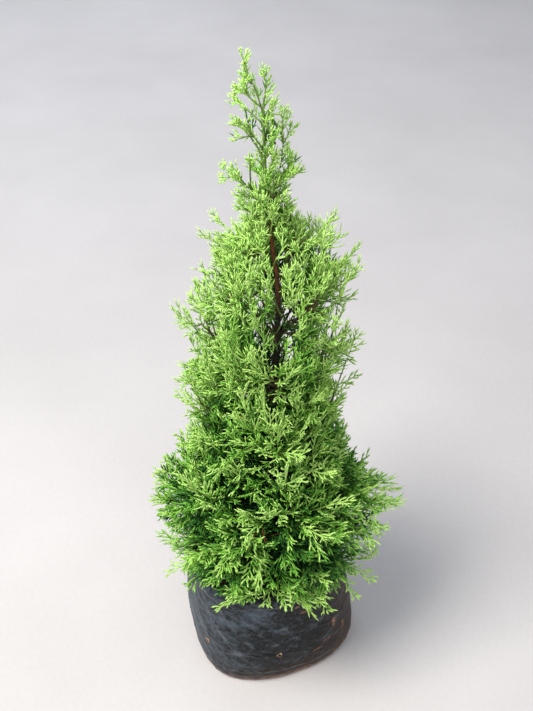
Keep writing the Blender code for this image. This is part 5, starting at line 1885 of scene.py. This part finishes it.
# %% Foliage: arrays
ZONES = (("low", (0, 1), ("skirt", "low")), ("middle", (2, 3), ("middle", "waist")),
         ("upper", (4, 5), ("upper", "shoulder")), ("top", (6, 7), ("spire", "point", "tip")))
LEVELS = 3  # stems, side arms and leaflets
TAPER = (np.array([0.72, 0.78, 0.74, 0.56]), np.array([0.74, 0.90, 0.66]),
         np.array([0.78, 0.72]))  # of each level
ARM_RADIUS = 0.58  # against the leaflets' thickness
THICKNESS_LUCK = (0.9, 1.12)
FEATHER_SHARES = (0.0, 0.05, 0.30, 0.65, 0.85, 0.95, 1.0, 1.0)  # by tier, from the skirt up
TONE_SPREADS = (0.15, 0.32)  # how far leaflets differ in lightness, in a fan and in a feather
AGE_TONE, AGE_MEAN = 0.55, 0.55  # how much an arm's age counts, and the age that counts nothing
BOW_MEAN, BOW_SPREAD, BOW_UPRIGHT = 6.0, 6.0, 4.5  # how far sprays are bowed, per metre
STEM_NEEDLE = 5.0 * MM
STEM_NEEDLE_GAP = 2.4 * MM
STEM_NEEDLE_LOOSENESS = 0.5
YOUNG_TIERS = 2  # twigs of the tiers above this one carry needles
YOUNG_SHARES = np.linspace(0.4, 1, TWIG_POINTS)


def place_plan(plan, root, heading, normal, scale, bend):
    """A plan's arms at every spray that uses it: (sprays, arms, points, 3), bowed upward."""
    across = np.cross(normal, heading)
    upward = np.cross(np.cross(heading, (1e-4, 0, 1.0)), heading)
    placed = []
    for arm in plan:
        x, y, z = (arm[..., k][None] * scale[:, None, None] for k in range(3))
        bow = bend[:, None, None] * x**2
        x = x * (1 - (bend[:, None, None] * x) ** 2 / 3)
        axes = zip((x, y, z, bow), (heading, across, normal, upward))
        placed.append(root[:, None, None] + sum(v[..., None] * a[:, None, None] for v, a in axes))
    return placed


def stem_needles():
    """Needles to all sides of the upper twigs and the shoots: like a batch of a plan's arms."""
    rng = np.random.default_rng(43)
    young = TWIG_TIER > YOUNG_TIERS
    shoots = len(SHOOT_PATHS)
    paths = np.concatenate([parts_of(TWIGS[young], YOUNG_SHARES), SHOOT_PATHS])
    tiers = np.append(TWIG_TIER[young], np.full(shoots, TOP_TIER))
    kinds = np.append(TWIG_KIND[young], np.full(shoots, SHOOT))
    root, heading, normal, size, owner, share = grow_sprays(
        paths, np.full(len(paths), STEM_NEEDLE), 0 * kinds,
        np.full(len(paths), STEM_NEEDLE_LOOSENESS), STEM_NEEDLE_GAP, 0.0, rng, most=MOST_NEEDLES,
    )
    keep = ~in_the_way(root, rng.uniform(0, 1, len(root))) | (kinds[owner] == SHOOT)
    steps = np.array(FINGER_STEPS)[None, :, None]
    needles = root[:, None] + size[:, None, None] * steps * heading[:, None]
    thick = LEAFLET_SIZES[tiers[owner]] * MM
    light = painted_light_and_tone(root, kinds[owner], share, rng.normal(0, 1, len(paths))[owner])
    light = light + rng.normal(0, TONE_SPREADS[1], len(owner))
    batch = (needles, ARM_RADIUS * thick[:, None] * TAPER[2], normal, tiers[owner], light)
    return [values[keep] for values in batch]


def foliage_arms():
    """All arms of all sprays, by level: paths, radii, reference, tier and lightness."""
    rng = np.random.default_rng(51)
    root, heading, normal, size, tier, light = SPRAYS
    sizes = np.array(PLAN_SIZES) * MM
    nearest = np.abs(size[:, None] / sizes[None] - 1).argmin(1)
    choice = rng.integers(0, PLANS_EACH, len(root))
    feather = rng.uniform(0, 1, len(root)) < np.array(FEATHER_SHARES)[tier]
    mirror = rng.choice((-1.0, 1.0), len(root))
    bend = rng.normal(BOW_MEAN, BOW_SPREAD, len(root)) + BOW_UPRIGHT * UPRIGHTS[tier]
    thickness = LEAFLET_SIZES[tier] * MM
    found = [[] for _ in range(LEVELS)]
    for style, plan_size, number in np.ndindex(2, len(PLAN_SIZES), PLANS_EACH):
        use = np.flatnonzero((feather == style) & (nearest == plan_size) & (choice == number))
        paths, ages = PLANS[style][plan_size][number]
        placed = place_plan(paths, root[use], heading[use], normal[use] * mirror[use, None],
                            size[use] / sizes[plan_size], bend[use])
        for level, arm in enumerate(placed):
            sprays, count, points, _ = arm.shape
            owner = np.repeat(use, count)
            thick = thickness[owner] * rng.uniform(*THICKNESS_LUCK, len(owner))
            radii = ARM_RADIUS * thick[:, None] * TAPER[level][None]
            tone = light[owner] + AGE_TONE * (np.tile(ages[level], sprays) - AGE_MEAN)
            tone = tone + rng.normal(0, TONE_SPREADS[style], len(owner))
            found[level].append((arm.reshape(-1, points, 3), radii, normal[owner],
                                 tier[owner], tone))
    found[-1].append(stem_needles())
    stems, sides, leaflets = ([np.concatenate(column) for column in zip(*batches)]
                              for batches in found)
    luck = rng.uniform(0, 1, len(leaflets[0]))
    middle = leaflets[0][:, 1]
    keep = ~in_opening(middle, luck, BARE_TRUNK, TRUNK_BACK)
    keep &= ~in_opening(middle, luck, OPENINGS) | (leaflets[3] == TOP_TIER)
    return [stems, sides, [values[keep] for values in leaflets]]


ARMS = foliage_arms()
print("arms:", [len(level[0]) for level in ARMS])

# %% [markdown]
# ## Five greens
#
# A texture could vary the green over one mesh, but plain greens are lighter to carry along and
# still mix well, because leaflets of several greens lie side by side in every spray. Each green
# is near to what the picture shows at that lightness, and has a faint mottle of its own.

# %% Foliage: greens
# Name, darker and lighter colour of each green, from the shaded inside to the young tips: the
# darker greens are painted shade, the paler ones painted light as well as pale young growth.
GREENS = (
    ("shade", (27, 64, 24), (41, 86, 35)),
    ("deep", (60, 118, 41), (77, 136, 53)),
    ("leaf", (111, 173, 60), (128, 189, 72)),
    ("bright", (152, 206, 84), (167, 217, 98)),
    ("lime", (181, 223, 112), (197, 232, 132)),
)
LEAF_MOTTLE = (0.012, 0.0015, 0.5)
LEAF_GRAIN = (0.0011, 1.0, 0.00016)
LEAF_ROUGHNESS, LEAF_SHINE = 0.55, 0.25
TONE_STEPS = (-0.42, -0.12, 0.18, 0.46)  # lightness between one green and the next


def make_foliage():
    materials = [plain_finish("leaf_" + name, (dark, light, *LEAF_MOTTLE), LEAF_GRAIN,
                              LEAF_ROUGHNESS, LEAF_SHINE) for name, dark, light in GREENS]
    total = 0
    for zone, tiers, words in ZONES:
        for shade, green in enumerate(GREENS):
            batches = []
            for paths, radii, reference, tier, tone in ARMS:
                use = np.isin(tier, tiers) & (np.digitize(tone, TONE_STEPS) == shade)
                if use.any():
                    batches.append(tubes(paths[use], radii[use], ARM_SIDES, reference[use]))
            points, faces = joined(batches)
            total += len(faces)
            piece = put_mesh(f"sprays_{zone}_{green[0]}", points, faces, materials[shade])
            dress(piece, "foliage", *nodes_of(*words))
    return total


print("foliage triangles:", make_foliage())

# %% [markdown]
# ## Dead sprays
#
# Here and there a small spray inside the crown has dried to a red-brown. Those that the picture
# shows are listed, and a seeded few more sit as deep in the crown on the other sides. Each
# hangs on a short stalk from the nearest twig.

# %% Foliage: dead sprays
# Where each is seen, sideways and upward against the trunk's plane, and how far back it is.
DEAD_PLACES = ((-33, 296, -22), (-24, 236, -40), (-12, 113, -55), (-7, 111, -58), (-1, 109, -52),
               (-15, 104, -60))
DEAD_HIDDEN = 12
DEAD_SPREAD = 4 * MM  # how far the hidden ones hang from the middle of their twig
DEAD_LENGTH = 5.5 * MM
DEAD_BOW = 30.0
DEAD_RADIUS, STALK_RADIUS = 0.45 * MM, 0.24 * MM
STALK_POINTS = 4
DEAD_TIERS = 4  # the hidden ones hang in this many tiers, from the skirt up
DRY_FINISH = (((110, 54, 30), (178, 104, 62), 0.003, 0.0013, 0.45), (*BARK_GRAIN, 0.0001), 0.7)


def make_dead_sprays():
    """Small fans on stalks, in one piece: tubes along each plan's arms, turned as the stalk."""
    rng = np.random.default_rng(61)
    x, z, y = np.array(DEAD_PLACES).T * MM
    inner = TWIGS[(TWIG_KIND == INSIDE) & (TWIG_TIER < DEAD_TIERS), TWIG_POINTS // 2]
    hidden = inner[rng.choice(len(inner), DEAD_HIDDEN, replace=False)]
    hidden = hidden + rng.normal(0, DEAD_SPREAD, hidden.shape)
    tips = np.concatenate([at_depth(x, z, y), hidden])
    far = np.linalg.norm(TWIGS.reshape(-1, 1, 3) - tips[None], axis=-1)
    roots = TWIGS.reshape(-1, 3)[far.argmin(0)]
    heading = unit(tips - roots)
    normal = unit(np.cross(heading, rng.normal(size=tips.shape)))
    count = len(tips)
    plan, _ = fan_plan(DEAD_LENGTH, rng)
    placed = place_plan(plan, tips - heading * DEAD_LENGTH / 2, heading, normal,
                        np.ones(count), np.full(count, DEAD_BOW))
    share = np.linspace(0, 1, STALK_POINTS)[:, None]
    stalks = roots[:, None] + (tips - roots)[:, None] * share
    thick = np.full((count, STALK_POINTS - 1), STALK_RADIUS)
    batches = [tubes(stalks, thick, STALK_SIDES, across_of(stalks))]
    for level, arm in enumerate(placed):
        paths = arm.reshape(-1, arm.shape[2], 3)
        radii = np.broadcast_to(DEAD_RADIUS * TAPER[level], (len(paths), arm.shape[2] - 1))
        batches.append(tubes(paths, radii, ARM_SIDES, np.repeat(normal, arm.shape[1], axis=0)))
    dead = put_mesh("dead_sprays", *joined(batches), plain_finish("dry_leaf", *DRY_FINISH))
    dress(dead, "foliage", *nodes_of("skirt", "low", "middle", "waist"))


make_dead_sprays()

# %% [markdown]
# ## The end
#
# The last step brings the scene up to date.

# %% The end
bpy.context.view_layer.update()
